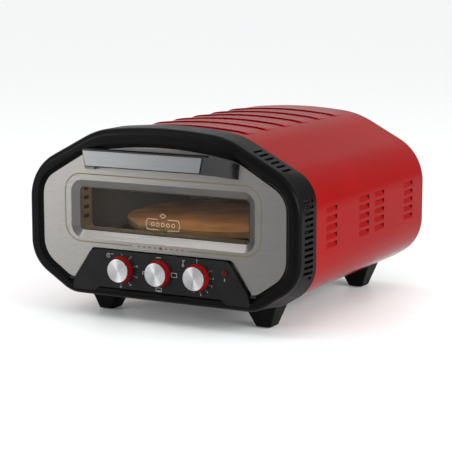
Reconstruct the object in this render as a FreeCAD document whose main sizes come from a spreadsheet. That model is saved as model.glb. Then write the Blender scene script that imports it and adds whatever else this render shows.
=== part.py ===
import FreeCAD, Part
import math
import os

import Sketcher

# Countertop pizza oven: a red sheet-metal tunnel behind a black moulded bezel, with a steel drop-down door.
# Frame: +X to the right seen from the front, +Y towards the rear, +Z up, millimetres.
# Origin: on the table, in the middle of the overall width and depth.
# Every body is drawn with y = 0 at the bezel's front crest, then moved by FRONT.

DIMENSIONS = [
    # Overall depths, measured along y
    ("handle_reach", 48, "handle face ahead of the bezel crest"),
    ("body_depth", 491, "bezel crest to the rear edge of the shell"),
    ("gland_reach", 8, "cable gland behind the shell's rear edge"),
    ("centre_z", 150, "height from which every facet distance is taken"),
    ("cut_margin", 3, "how far cutting shapes stand clear of a surface"),
    # Directions of the octagon's facets, as angles of their normals above +X
    ("upper_angle", 62, "upper slanted facets"),
    ("crown_angle", 85.2, "the two halves of the crown"),
    ("lower_angle", 57.6, "lower slanted facets, below +X"),
    # Bezel, front outline then rear outline
    ("bezel_side", 235, "front, side facets"),
    ("bezel_upper", 180.8, "front, upper facets"),
    ("bezel_crown", 155, "front, crown"),
    ("bezel_lower", 181, "front, lower facets"),
    ("bezel_bottom", 112, "both ends, underside"),
    ("bezel_rear_side", 236.5, "rear, side facets"),
    ("bezel_rear_upper", 181, "rear, upper facets"),
    ("bezel_rear_lower", 190, "rear, lower facets"),
    ("bezel_depth", 55, "crest to rear edge"),
    ("bezel_round", 10, "rounding of the front edge"),
    ("bezel_rim", 12, "straight part behind the front edge"),
    ("bezel_wall", 3, "moulded wall"),
    ("bezel_face", 10, "thickness of the front face"),
    ("sleeve_depth", 30, "crest to the end of the inner sleeve"),
    ("crown_corner", 130, "corner between crown and upper facets"),
    ("crown_arch", 715, "arch of the crown"),
    ("upper_corner", 78, "corner between upper and side facets"),
    ("upper_rear_corner", 52, "the same corner at the bezel's rear"),
    ("lower_corner", 60, "corner between side and lower facets"),
    ("foot_corner", 50, "corner between lower facets and underside"),
    ("bezel_slope", 6, "width of the slope around the door"),
    ("pocket_corner", 4, "corners of the bezel opening around the door legs"),
    # Side vents of the bezel
    ("vent_count", 14, "vent slots on each side"),
    ("vent_pitch", 8.85, "height from slot to slot"),
    ("vent_gap", 4.5, "height of one slot"),
    ("vent_first_z", 91, "height of the lowest slot"),
    ("vent_front", 18, "front end of the slots"),
    ("vent_length", 27, "slot length, front to rear"),
    ("vent_cut", 6, "depth cut for the slots, through the wall"),
    ("vent_corner", 1.2, "rounded ends of all vent slots"),
    ("corner_vent_count", 6, "slots on each upper facet"),
    ("corner_vent_pitch", 10.6, "distance between those slots"),
    ("corner_vent_start", 76, "first of them, along the facet from its middle normal"),
    # Shell
    ("shell_side", 231.5, "side facets"),
    ("shell_upper", 176, "upper facets"),
    ("shell_crown", 150, "crown"),
    ("shell_lower", 185.2, "lower facets"),
    ("shell_bottom", 108.5, "underside"),
    ("shell_front", 50, "front edge, inside the bezel"),
    ("shell_wall", 1, "sheet thickness"),
    ("shell_crown_corner", 150, "corner between crown and upper facets"),
    ("shell_upper_corner", 80, "corner between upper and side facets"),
    ("shell_lower_corner", 70, "corner between side and lower facets"),
    ("shell_flange", 12, "width of the rear flange"),
    ("flange_inset", 6, "rear flange ahead of the rear edge"),
    ("floor_half", 130, "half width of the opening under the shell"),
    ("rear_screw_side_z", 30, "rear screws beside the panel, above and below the centre height"),
    ("rear_screw_crown_x", 90, "rear screws under the crown"),
    ("rear_screw_crown_drop", 8, "their drop where the crown falls away"),
    ("rear_screw_low_x", 110, "rear screws above the underside"),
    # Louvres
    ("louvre_rows", 5, "rows of louvres on each side"),
    ("louvre_pitch", 13.5, "height from row to row"),
    ("louvre_first_z", 124, "height of the lowest row"),
    ("louvre_length", 38, "length of one side louvre"),
    ("louvre_height", 8.4, "height of its blade"),
    ("louvre_depth", 3.4, "how far its top edge is pressed in"),
    ("louvre_gap", 3.2, "height of a rear slot"),
    ("louvre_step", 61, "distance between louvre columns"),
    ("louvre_front", 101, "front end of the first column"),
    ("rib_count", 6, "louvres across the crown"),
    ("rib_pitch", 63.5, "distance between them"),
    ("rib_first_y", 97, "first of them"),
    ("rib_half", 100, "half their length"),
    ("rib_gap", 3.2, "their opening"),
    ("rib_cut", 20, "depth cut for it, through the crown"),
    # Door skin, a facet outline of its own
    ("door_side", 211, "side facets"),
    ("door_upper", 160.4, "upper facets"),
    ("door_upper_angle", 59.7, "their normal above +X"),
    ("door_crown", 129.5, "crown"),
    ("door_crown_angle", 80.8, "normal of the crown's halves"),
    ("door_lower", 163.4, "lower facets"),
    ("door_lower_angle", 55.2, "their normal below +X"),
    ("door_bottom", 86, "bottom edge of the legs"),
    ("door_arch", 625, "arch of the door's crown"),
    ("door_crown_corner", 60, "corner between crown and upper facets"),
    ("door_upper_corner", 40, "corner between upper and side facets"),
    ("door_lower_corner", 43, "corner between side and lower facets"),
    ("door_leg_corner", 25, "outer corner of the legs"),
    ("door_face", 6.6, "front of the skin behind the bezel crest"),
    ("skin", 1.2, "thickness of the skin"),
    ("door_gap", 1, "gap between the skin and the bezel"),
    ("notch_top", 113, "top of the cut-out for the controls"),
    ("notch_top_half", 121.5, "its half width at the top"),
    ("notch_leg_half", 154, "its half width at the legs"),
    ("notch_leg_top", 66, "top of the straight part beside the legs"),
    ("notch_corner", 9, "its upper corners"),
    ("notch_leg_corner", 3, "its bends at the legs"),
    # Window
    ("window_half", 148.5, "half width of the clear opening"),
    ("window_low", 137.4, "its lower edge"),
    ("window_high", 205, "its upper edge"),
    ("window_corner", 8, "its corners"),
    ("bevel_out", 11.5, "width of the pressed bevel"),
    ("bevel_depth", 7.5, "depth of the pressed bevel"),
    ("bevel_corner", 20, "corners of the bevel at the front"),
    ("glass", 4, "thickness of both panes"),
    ("outer_glass_y", 14.1, "front of the outer pane"),
    ("inner_glass_y", 48, "front of the inner pane"),
    ("pane_lap", 6, "how far a pane runs behind its frame"),
    ("pane_corner", 6, "corners of a pane"),
    ("liner_wall", 0.8, "sheet of the window liner"),
    ("liner_slot_pitch", 14.5, "height between the liner's slots"),
    ("liner_slot", 6, "height of a liner slot"),
    ("liner_slot_first", 156, "height of the lowest liner slot"),
    ("liner_slot_count", 4, "slots in each side of the liner"),
    ("liner_slot_start", 8, "front end of the slots behind the outer pane"),
    ("liner_slot_length", 14, "their length"),
    ("liner_slot_corner", 1, "their corners"),
    ("liner_play", 0.5, "gap between the liner and the pan"),
    ("clip_width", 8, "width of a glass clip"),
    ("clip_height", 12, "height of a glass clip"),
    ("clip_gap", 1.6, "glass clip beside the window"),
    ("clip_end", 6, "glass clip inside the ends of the window"),
    # Door inner pan and seal
    ("pan_front", 8, "front of the inner pan"),
    ("pan_back", 26, "back of the inner pan"),
    ("pan_wall", 0.8, "its sheet"),
    ("pan_half", 186, "its half width"),
    ("pan_low", 118, "its lower edge"),
    ("pan_shoulder", 213, "top of its straight sides"),
    ("pan_high", 252, "its upper edge"),
    ("pan_top_half", 118, "half width of its upper edge"),
    ("pan_corner", 14, "its upper corners"),
    ("pan_low_corner", 6, "its lower corners"),
    ("seal_width", 5, "width of the door seal"),
    ("seal_depth", 3.4, "thickness of the door seal"),
    ("seal_half", 176, "half width of the seal"),
    ("seal_low", 121, "its lower edge"),
    ("seal_high", 229, "its upper edge"),
    ("seal_corner", 16, "its corners"),
    # Door hinge
    ("hinge_z", 61.2, "height of the hinge axis"),
    ("hinge_inner", 154, "inner end of the hinge barrel"),
    ("hinge_outer", 163, "outer end of the hinge barrel"),
    ("barrel_radius", 2.6, "outside of the barrel"),
    ("pin_radius", 1.5, "hinge pin"),
    ("pin_play", 0.05, "radial clearance of the pin"),
    ("pin_end", 176, "outer end of the pin"),
    ("pin_tail", 1, "hinge pin past the inner end of the barrel"),
    ("hinge_plate", 2, "thickness of the hinge strap"),
    ("hinge_plate_top", 112, "top of the hinge strap"),
    ("leg_pocket_half", 164, "half width of the bezel's pocket for the legs"),
    ("leg_pocket_play", 4, "pocket inside the hinge barrel"),
    ("leg_pocket_bottom", 92.5, "depth of that pocket under the centre height"),
    ("leg_pocket_top", 68, "height to which that pocket is cut square"),
    # Handle
    ("handle_low", 247.5, "lower edge of the bar"),
    ("handle_high", 269.5, "upper edge of the bar"),
    ("handle_half_low", 97, "half length of its face at the lower edge"),
    ("handle_half_high", 102, "half length of its face at the upper edge"),
    ("handle_cover", 2, "thickness of the metal face"),
    ("handle_back", 30, "back of the bar ahead of the crest"),
    ("handle_edge", 2, "bar showing above and below its face"),
    ("handle_knee_y", 11, "knee of the arm ahead of the crest"),
    ("cover_corner", 1, "corners of the metal face"),
    ("arm_width", 17, "width of an arm"),
    ("arm_bar_inner", 82, "inner side of an arm at the bar"),
    ("arm_bar_lean", 5, "lean of its sides there"),
    ("arm_knee_inner", 106, "inner side at the knee"),
    ("arm_knee_lean", 3, "lean there"),
    ("arm_knee_low", 238.6, "underside at the knee"),
    ("arm_knee_height", 24.2, "height at the knee"),
    ("arm_root_inner", 116, "inner side at the door"),
    ("arm_root_lean", 2, "lean there"),
    ("arm_root_low", 234, "underside at the door"),
    ("arm_root_height", 22, "height at the door"),
    # Controls
    ("panel_front", 0.5, "front of the control panel"),
    ("panel_wall", 4, "its thickness"),
    ("panel_gap", 0.4, "gap around it in the bezel"),
    ("panel_top", 111.5, "its upper edge"),
    ("panel_top_half", 120, "half width of the upper edge"),
    ("panel_waist_half", 150, "half width at the bend of its sides"),
    ("panel_waist", 66, "height of that bend"),
    ("panel_base_half", 157, "half width of the lower edge"),
    ("panel_base", 46, "its lower edge"),
    ("panel_step", 53.5, "its raised lower edge in the middle"),
    ("step_outer_half", 116, "where the lower edge starts to rise"),
    ("step_inner_half", 106, "where it has risen"),
    ("panel_corner", 14, "its upper corners"),
    ("waist_corner", 6, "bend of its sides"),
    ("base_corner", 4, "its lower corners"),
    ("step_corner", 2, "corners of the rise in its lower edge"),
    ("knob_pitch", 66.2, "distance between knobs"),
    ("knob_z", 83, "height of the knob axes"),
    ("knob_face", 11.5, "knob face ahead of the crest"),
    ("knob_cap_radius", 18, "metal cap"),
    ("knob_cap_depth", 3.6, "its depth"),
    ("knob_front_radius", 18.6, "red skirt at the front"),
    ("knob_back_radius", 20.8, "red skirt at the back"),
    ("knob_gap", 0.6, "skirt to control panel"),
    ("cap_edge", 0.6, "rounded edge of the cap"),
    ("timer_pointer", 0, "where the timer points, turned left from straight up"),
    ("mode_pointer", 80, "the same for the mode switch"),
    ("thermostat_pointer", 172, "the same for the thermostat"),
    ("pointer_width", 1.3, "groove that shows where a knob points"),
    ("pointer_start", 4, "its inner end"),
    ("pointer_end", 16.6, "its outer end"),
    ("pointer_depth", 0.5, "its depth"),
    ("shaft_radius", 3, "control shafts"),
    ("shaft_hole", 3.4, "hole for a shaft"),
    ("shaft_end", 24, "inner end of a shaft"),
    ("lamp_x", 113, "indicator lamp"),
    ("lamp_z", 94, "its height"),
    ("lamp_radius", 5, "its lens"),
    ("lens_height", 2.5, "lens ahead of the control panel"),
    ("lens_round", 1.6, "its rounded edge"),
    ("lens_play", 0.1, "gap around the lens"),
    ("lamp_depth", 8, "lamp body behind the lens"),
    ("lamp_wall", 1, "lamp body inside the lens radius"),
    ("bracket_y", 13.5, "front of the control bracket"),
    ("bracket_wall", 1.2, "its sheet"),
    ("bracket_half", 146, "its half width"),
    ("bracket_low", 62, "its lower edge"),
    ("bracket_high", 106, "its upper edge"),
    ("bracket_corner", 3, "its corners"),
    ("bracket_foot", 14, "depth of its folded foot"),
    ("control_depth", 26, "depth of the timer and switches"),
    ("device_corner", 3, "corners of their housings"),
    ("device_rim", 1, "round cover inside the housing"),
    ("timer_half", 24, "half width of the timer"),
    ("timer_height", 38, "its height"),
    ("timer_extra", 6, "how much deeper the timer is"),
    ("switch_half", 18, "half width of the mode switch"),
    ("switch_height", 36, "its height"),
    ("thermostat_half", 22, "half width of the thermostat"),
    ("thermostat_height", 34, "its height"),
    ("thermostat_less", 2, "how much shallower the thermostat is"),
    # Cooking chamber
    ("frame_wall", 1.2, "sheet of the front frame"),
    ("frame_inset", 7, "front frame inside the shell outline"),
    ("frame_low", 34, "its lower edge under the centre height"),
    ("mouth_half", 166, "half width of the mouth"),
    ("mouth_low", 126, "sill of the mouth"),
    ("mouth_high", 220, "lintel of the mouth"),
    ("mouth_corner", 10, "its corners"),
    ("frame_corner", 6, "lower corners of the frame"),
    ("chamber_half", 176, "half width outside"),
    ("chamber_low", 119, "underside"),
    ("chamber_high", 232, "roof"),
    ("chamber_rear", 405, "rear wall"),
    ("chamber_wall", 1, "its sheet"),
    ("chamber_corner", 8, "its long edges"),
    ("stone_radius", 165, "baking stone"),
    ("stone_depth", 10, "its thickness"),
    ("stone_y", 228, "its centre"),
    ("stone_low", 131, "its underside"),
    ("rest_size", 14, "width and depth of a stone rest"),
    ("rest_offset", 100, "stone rests from the middle of the stone"),
    ("element_radius", 3.25, "heating rods"),
    ("element_half", 140, "half width of the heating loops"),
    ("element_front", 90, "their front bend"),
    ("element_bend", 36, "radius of their bends"),
    ("element_play", 0.4, "gap around them in the rear wall"),
    ("upper_element_z", 223, "height of the upper rod"),
    ("lower_element_z", 125, "height of the lower rod"),
    ("terminal_reach", 14, "heating rods behind the chamber"),
    ("blanket", 8, "insulation thickness"),
    ("blanket_gap", 0.5, "insulation off the chamber"),
    ("blanket_front", 10, "insulation behind the front frame"),
    ("blanket_short", 20, "how much shorter it is than the chamber"),
    ("blanket_corner", 14, "its outer corners"),
    ("blanket_bend", 6, "its inner corners"),
    ("shield_z", 92, "heat shield under the chamber"),
    ("shield_half", 146, "half width of the heat shield"),
    ("shield_front", 84, "its front edge"),
    ("shield_rear", 400, "its rear edge"),
    ("shield_corner", 6, "its corners"),
    ("shield_leg_width", 8, "width of its legs"),
    ("shield_leg_front", 120, "front of its legs"),
    ("shield_leg_length", 30, "their length"),
    ("leg_width", 14, "width of a chamber leg"),
    ("leg_length", 20, "length of a chamber leg"),
    ("leg_x", 156, "chamber legs from the middle"),
    ("leg_front", 90, "front of the front legs"),
    ("leg_rear", 375, "front of the rear legs"),
    # Base, rear and feet
    ("base_wall", 1.2, "base plate sheet"),
    ("base_half", 156, "its half width"),
    ("base_front", 58, "its front edge"),
    ("base_vent_count", 12, "slots in the base plate"),
    ("base_vent_pitch", 16, "distance between them"),
    ("base_vent_first", -92, "left edge of the first"),
    ("base_vent_width", 8, "their width"),
    ("base_vent_front", 180, "their front end"),
    ("base_vent_length", 120, "their length"),
    ("base_vent_corner", 3.5, "their corners"),
    ("block_left", 96, "left side of the terminal block"),
    ("block_width", 40, "its width"),
    ("block_front", 440, "its front"),
    ("block_length", 24, "its depth front to rear"),
    ("block_height", 22, "its height"),
    ("block_corner", 2, "its corners"),
    ("block_wells", 3, "terminals in it"),
    ("well_pitch", 13, "distance between terminals"),
    ("well_radius", 3.2, "terminal wells"),
    ("well_depth", 10, "their depth"),
    ("cutout_radius", 8, "thermal cut-out"),
    ("cutout_height", 9, "its height"),
    ("cutout_x", 40, "cut-out from the middle of the rear wall"),
    ("cutout_z", 180, "its height on the rear wall"),
    ("bulb_radius", 2.5, "thermostat bulb"),
    ("bulb_length", 90, "its length"),
    ("bulb_inset", 12, "bulb inside the chamber wall"),
    ("bulb_front", 250, "its front end"),
    ("bulb_z", 208, "its height"),
    ("rear_gap", 0.5, "rear panel inside the shell"),
    ("rear_vent_rows", 9, "rows of vent slots in the rear panel"),
    ("rear_vent_length", 90, "length of one such slot"),
    ("rear_vent_space", 15, "space between them"),
    ("gland_x", 150, "cable gland"),
    ("gland_z", 80, "its height"),
    ("gland_radius", 9, "its barrel"),
    ("gland_bore", 4, "cable hole"),
    ("gland_flange", 13, "its flange"),
    ("gland_flange_depth", 3, "its thickness"),
    ("gland_tail", 8, "gland inside the rear panel"),
    ("gland_play", 0.2, "gap around its barrel"),
    ("foot_height", 41.5, "table to base"),
    ("pad_height", 1.5, "rubber pad under a foot"),
    ("foot_inner", 128, "inner edge of a foot's sole"),
    ("foot_outer", 153, "outer edge of a foot's sole"),
    ("foot_length", 31.5, "length of a foot's sole"),
    ("foot_flare_in", 20, "inner flare of a foot"),
    ("foot_flare_out", 15, "outer flare of a foot"),
    ("foot_flare_y", 9, "flare at a foot's front and back"),
    ("foot_edge", 4, "vertical edges of a foot"),
    ("pad_radius", 10, "rubber pad"),
    ("front_foot_y", 71, "front of the front feet"),
    ("rear_foot_y", 418.6, "front of the rear feet"),
    ("screw_radius", 1.9, "screw shanks"),
    ("screw_hole", 2.1, "screw holes"),
    ("screw_head", 3.6, "screw heads"),
    ("head_depth", 2, "their height"),
    ("head_play", 0.6, "room around a screw head in its well"),
    ("rear_screw_length", 6, "shanks of the rear screws"),
    ("foot_screw_reach", 5, "foot screws past the top of a foot"),
]

FRONT = "(Dims.handle_reach - Dims.body_depth - Dims.gland_reach) / 2"

doc = FreeCAD.newDocument("pizza_oven")
sheet = doc.addObject("Spreadsheet::Sheet", "Dims")
for row, (alias, number, note) in enumerate(DIMENSIONS, start=1):
    sheet.set(f"A{row}", str(number))
    sheet.setAlias(f"A{row}", alias)
    sheet.set(f"B{row}", note)
doc.recompute()

parts = []


def value(expression):
    """Number that an expression has with the sheet's present cells."""
    return float(sheet.evalExpression(str(expression)))


def keep(part):
    """Lists a finished sub-part for export."""
    parts.append(part)
    return part


# ---------------------------------------------------------------- sketches and features

def new_body(name):
    body = doc.addObject("PartDesign::Body", name)
    body.Label = name
    body.setExpression("Placement.Base.y", FRONT)
    return keep(body)


def new_sketch(body, plane, offset="0", low="0", turn=None):
    """Sketch on an origin plane. offset is along +Y for XZ, +X for YZ, +Z for XY; low lifts its origin."""
    sketch = body.newObject("Sketcher::SketchObject", f"{body.Name}_{plane}")
    support = next(item for item in body.Origin.OriginFeatures if item.Role == f"{plane}_Plane")
    sketch.AttachmentSupport = (support, "")
    sketch.MapMode = "FlatFace"
    if turn is not None:
        sketch.AttachmentOffset = FreeCAD.Placement(FreeCAD.Vector(), turn)
    sign = "-" if plane == "XZ" else ""
    sketch.setExpression("AttachmentOffset.Base.z", f"{sign}({offset})")
    if low != "0":
        sketch.setExpression("AttachmentOffset.Base.y", low)
    return sketch


def bind(sketch, constraints):
    """Adds (constraint, expression or None) pairs in one go and ties them to the sheet."""
    first = sketch.ConstraintCount
    sketch.addConstraint([constraint for constraint, _ in constraints])
    for index, (_, expression) in enumerate(constraints, start=first):
        if expression is not None:
            sketch.setExpression(f"Constraints[{index}]", str(expression))


def place_point(geometry, x, y):
    """Constraints that hold a point at two expressions from the sketch's origin."""
    across = Sketcher.Constraint("DistanceX", -1, 1, geometry, 1, value(x))
    up = Sketcher.Constraint("DistanceY", -1, 1, geometry, 1, value(y))
    return [(across, x), (up, y)]


def outline(sketch, corners):
    """Closed loop, counter-clockwise, through corners (x, y, radius) given as expressions. "0" is sharp."""
    count = len(corners)
    spots = [FreeCAD.Vector(value(x), value(y), 0) for x, y, _ in corners]
    radii = [value(radius) for _, _, radius in corners]
    arrive, leave, turns = [], [], []
    for index, spot in enumerate(spots):
        before = (spots[index - 1] - spot).normalize()
        after = (spots[(index + 1) % count] - spot).normalize()
        half_turn = (math.pi - before.getAngle(after)) / 2
        reach = radii[index] * math.tan(half_turn)
        arrive.append(spot + before * reach)
        leave.append(spot + after * reach)
        turns.append(before.cross(after).z < 0)
    first = sketch.GeometryCount
    lines = [Part.LineSegment(leave[i], arrive[(i + 1) % count]) for i in range(count)]
    sketch.addGeometry(lines, False)
    constraints = []
    for index, (x, y, radius) in enumerate(corners):
        line_in = first + (index - 1) % count
        line_out = first + index
        if radii[index] == 0:
            constraints.append((Sketcher.Constraint("Coincident", line_in, 2, line_out, 1), None))
            constraints += place_point(line_out, x, y)
            continue
        spot = spots[index]
        inwards = ((arrive[index] + leave[index]) * 0.5 - spot).normalize()
        half_turn = (math.pi - (arrive[index] - spot).getAngle(leave[index] - spot)) / 2
        centre = spot + inwards * (radii[index] / math.cos(half_turn))
        ends = [arrive[index], leave[index]]
        if not turns[index]:
            ends.reverse()
        angles = [math.atan2(end.y - centre.y, end.x - centre.x) for end in ends]
        circle = Part.Circle(centre, Z_AXIS, radii[index])
        arc = sketch.addGeometry(Part.ArcOfCircle(circle, *angles), False)
        point = sketch.addGeometry(Part.Point(spot), True)
        start, end = (1, 2) if turns[index] else (2, 1)
        constraints += [
            (Sketcher.Constraint("Tangent", line_in, 2, arc, start), None),
            (Sketcher.Constraint("Tangent", line_out, 1, arc, end), None),
            (Sketcher.Constraint("PointOnObject", point, 1, line_in), None),
            (Sketcher.Constraint("PointOnObject", point, 1, line_out), None),
            (Sketcher.Constraint("Radius", arc, radii[index]), radius),
        ]
        constraints += place_point(point, x, y)
    bind(sketch, constraints)


def circles(sketch, spots, radius):
    """Circles of one radius at (x, y) expressions."""
    for x, y in spots:
        circle = Part.Circle(FreeCAD.Vector(value(x), value(y), 0), Z_AXIS, value(radius))
        index = sketch.addGeometry(circle, False)
        across = Sketcher.Constraint("DistanceX", -1, 1, index, 3, value(x))
        up = Sketcher.Constraint("DistanceY", -1, 1, index, 3, value(y))
        size = Sketcher.Constraint("Radius", index, value(radius))
        bind(sketch, [(across, x), (up, y), (size, radius)])


def box_corners(low_x, low_y, high_x, high_y, radius="0"):
    return [(low_x, low_y, radius), (high_x, low_y, radius), (high_x, high_y, radius), (low_x, high_y, radius)]


def mirrored(half):
    """Right half, from the bottom up, and its mirror image on the left."""
    return half + [(f"-({x})", y, radius) for x, y, radius in reversed(half)]


def pad(body, sketch, length, backwards=False, kind="PartDesign::Pad"):
    feature = body.newObject(kind, f"{sketch.Name}_{kind[-3:]}")
    feature.Profile = sketch
    feature.Reversed = backwards
    feature.setExpression("Length", length)
    return feature


def pocket(body, sketch, length, backwards=False):
    """Pocket along the sketch's normal, or against it, checked by the volume that it takes away."""
    doc.recompute()
    volume = body.Shape.Volume
    feature = pad(body, sketch, length, not backwards, "PartDesign::Pocket")
    doc.recompute()
    if body.Shape.Volume >= volume - 0.01:
        raise RuntimeError(f"{feature.Name} cuts nothing")
    return feature


def repeat(body, features, axis, count, spacing):
    """Linear pattern of features along an axis, checked by the volume that it changes."""
    doc.recompute()
    volume = body.Shape.Volume
    pattern = body.newObject("PartDesign::LinearPattern", f"{features[-1].Name}_row")
    pattern.Originals = features
    pattern.Direction = axis
    pattern.Mode = "Spacing"
    pattern.setExpression("Occurrences", count)
    pattern.setExpression("Offset", spacing)
    body.Tip = pattern
    doc.recompute()
    if abs(body.Shape.Volume - volume) < 0.01:
        raise RuntimeError(f"{pattern.Name} repeats nothing")


def body_axis(body, letter):
    """One of the body's own axes, as a pattern direction."""
    return (next(item for item in body.Origin.OriginFeatures if item.Role == f"{letter}_Axis"), [""])


def loft(body, sketches, cut=False, ruled=True):
    feature = body.newObject("PartDesign::SubtractiveLoft" if cut else "PartDesign::AdditiveLoft", "Loft")
    feature.Profile = sketches[0]
    feature.Sections = sketches[1:]
    feature.Ruled = ruled
    return feature


def round_edges(body, picked, radius, kind="PartDesign::Fillet"):
    """Fillet or chamfer on the edges for which picked(edge) is true."""
    doc.recompute()
    base = body.Tip
    names = [f"Edge{i}" for i, edge in enumerate(base.Shape.Edges, start=1) if picked(edge)]
    feature = body.newObject(kind, "Edges")
    feature.Base = (base, names)
    feature.setExpression("Radius" if kind.endswith("Fillet") else "Size", radius)
    return feature


def facet_corners(facets, inset="0"):
    """Corners of the outline whose right half has these facets, from the underside up to the crown.

    A facet is (normal angle, distance from the centre height, radius of the corner after it).
    """
    half = facets + [(f"180 - ({angle})", reach, None) for angle, reach, _ in facets[-1:]]
    corners = []
    for (angle, reach, radius), (next_angle, next_reach, _) in zip(half, half[1:]):
        turn = f"sin({next_angle} - ({angle}))"
        near = f"({reach} - ({inset}))"
        far = f"({next_reach} - ({inset}))"
        x = f"({near} * sin({next_angle}) - {far} * sin({angle})) / {turn}"
        y = f"({far} * cos({angle}) - {near} * cos({next_angle})) / {turn}"
        corners.append((x, y, f"{radius} - ({inset})"))
    peak = ("0", corners[-1][1], corners[-1][2])
    return corners[:-1] + [peak] + [(f"-({x})", y, radius) for x, y, radius in reversed(corners[:-1])]


BEZEL_FRONT = [
    ("-90", "Dims.bezel_bottom", "Dims.foot_corner"),
    ("-Dims.lower_angle", "Dims.bezel_lower", "Dims.lower_corner"),
    ("0", "Dims.bezel_side", "Dims.upper_corner"),
    ("Dims.upper_angle", "Dims.bezel_upper", "Dims.crown_corner"),
    ("Dims.crown_angle", "Dims.bezel_crown", "Dims.crown_arch"),
]
BEZEL_REAR = [
    ("-90", "Dims.bezel_bottom", "Dims.foot_corner"),
    ("-Dims.lower_angle", "Dims.bezel_rear_lower", "Dims.lower_corner"),
    ("0", "Dims.bezel_rear_side", "Dims.upper_rear_corner"),
    ("Dims.upper_angle", "Dims.bezel_rear_upper", "Dims.crown_corner"),
    ("Dims.crown_angle", "Dims.bezel_crown", "Dims.crown_arch"),
]
SHELL = [
    ("-90", "Dims.shell_bottom", "Dims.foot_corner"),
    ("-Dims.lower_angle", "Dims.shell_lower", "Dims.shell_lower_corner"),
    ("0", "Dims.shell_side", "Dims.shell_upper_corner"),
    ("Dims.upper_angle", "Dims.shell_upper", "Dims.shell_crown_corner"),
    ("Dims.crown_angle", "Dims.shell_crown", "Dims.crown_arch"),
]


def door_facets(bottom, leg_corner):
    return [
        ("-90", bottom, leg_corner),
        ("-Dims.door_lower_angle", "Dims.door_lower", "Dims.door_lower_corner"),
        ("0", "Dims.door_side", "Dims.door_upper_corner"),
        ("Dims.door_upper_angle", "Dims.door_upper", "Dims.door_crown_corner"),
        ("Dims.door_crown_angle", "Dims.door_crown", "Dims.door_arch"),
    ]


def facet_sketch(body, facets, y, inset="0", inner=None):
    """Outline sketch across the oven at depth y, with an optional second outline inset by inner."""
    sketch = new_sketch(body, "XZ", y, "Dims.centre_z")
    outline(sketch, facet_corners(facets, inset))
    if inner is not None:
        outline(sketch, facet_corners(facets, inner))
    return sketch


def side_range(axis, low, high):
    """Edge test: the whole edge lies between low and high along an axis, in the body's own frame."""
    def test(edge):
        box = edge.BoundBox
        spans = {"x": (box.XMin, box.XMax), "y": (box.YMin, box.YMax), "z": (box.ZMin, box.ZMax)}
        return low <= spans[axis][0] and spans[axis][1] <= high
    return test


CONTROL_OUTLINE = [
    ("Dims.step_inner_half", "Dims.panel_step", "Dims.step_corner"),
    ("Dims.step_outer_half", "Dims.panel_base", "Dims.step_corner"),
    ("Dims.panel_base_half", "Dims.panel_base", "Dims.base_corner"),
    ("Dims.panel_waist_half", "Dims.panel_waist", "Dims.waist_corner"),
    ("Dims.panel_top_half", "Dims.panel_top", "Dims.panel_corner"),
]
KNOBS = [("timer", "-Dims.knob_pitch"), ("mode", "0"), ("thermostat", "Dims.knob_pitch")]
SIDES = [("left", -1), ("right", 1)]
X_AXIS = FreeCAD.Vector(1, 0, 0)
Y_AXIS = FreeCAD.Vector(0, 1, 0)
Z_AXIS = FreeCAD.Vector(0, 0, 1)
ON_BASE = "Dims.foot_height + Dims.shell_wall + Dims.base_wall"
TINY = 0.01
LOUVRE_COLUMNS = (0, 2, 3, 5)


# ---------------------------------------------------------------- bezel and shell

def build_bezel():
    body = new_body("front_bezel")
    pad(body, facet_sketch(body, BEZEL_FRONT, "0"), "Dims.bezel_rim", backwards=True)
    round_edges(body, side_range("y", -TINY, TINY), "Dims.bezel_round")
    rim = facet_sketch(body, BEZEL_FRONT, "Dims.bezel_rim")
    loft(body, [rim, facet_sketch(body, BEZEL_REAR, "Dims.bezel_depth")])
    inside = [
        facet_sketch(body, BEZEL_FRONT, "Dims.bezel_face", "Dims.bezel_wall"),
        facet_sketch(body, BEZEL_REAR, "Dims.bezel_depth", "Dims.bezel_wall"),
    ]
    loft(body, inside, cut=True)
    opening = door_facets("Dims.leg_pocket_bottom", "Dims.pocket_corner")
    gap = "-Dims.door_gap"
    sleeve = facet_sketch(body, opening, "Dims.bezel_face", gap, "-(Dims.door_gap + Dims.bezel_wall)")
    pad(body, sleeve, "Dims.sleeve_depth - Dims.bezel_face", backwards=True)
    pocket(body, facet_sketch(body, opening, "0", gap), "Dims.bezel_face", backwards=True)
    slope = [
        facet_sketch(body, opening, "0", "-(Dims.door_gap + Dims.bezel_slope)"),
        facet_sketch(body, opening, "Dims.door_face", gap),
    ]
    loft(body, slope, cut=True)
    recess = new_sketch(body, "XZ", "0")
    grown = [(f"{x} + Dims.panel_gap", f"{y} - Dims.panel_gap", radius) for x, y, radius in CONTROL_OUTLINE]
    outline(recess, mirrored(grown))
    pocket(body, recess, "Dims.panel_front + Dims.panel_wall", backwards=True)
    for _, side in SIDES:
        leg = new_sketch(body, "XZ", "0")
        ends = ("Dims.hinge_inner - Dims.leg_pocket_play", "Dims.leg_pocket_half")
        if side < 0:
            ends = (f"-({ends[1]})", f"-({ends[0]})")
        low = "Dims.centre_z - Dims.leg_pocket_bottom"
        outline(leg, box_corners(ends[0], low, ends[1], "Dims.leg_pocket_top"))
        pocket(body, leg, "Dims.bezel_face", backwards=True)
    cut_bezel_vents(body)
    pin_bores = new_sketch(body, "YZ", "-Dims.pin_end")
    circles(pin_bores, [("Dims.door_face", "Dims.hinge_z")], "Dims.pin_radius + Dims.pin_play")
    pocket(body, pin_bores, "2 * Dims.pin_end")
    return body


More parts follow.
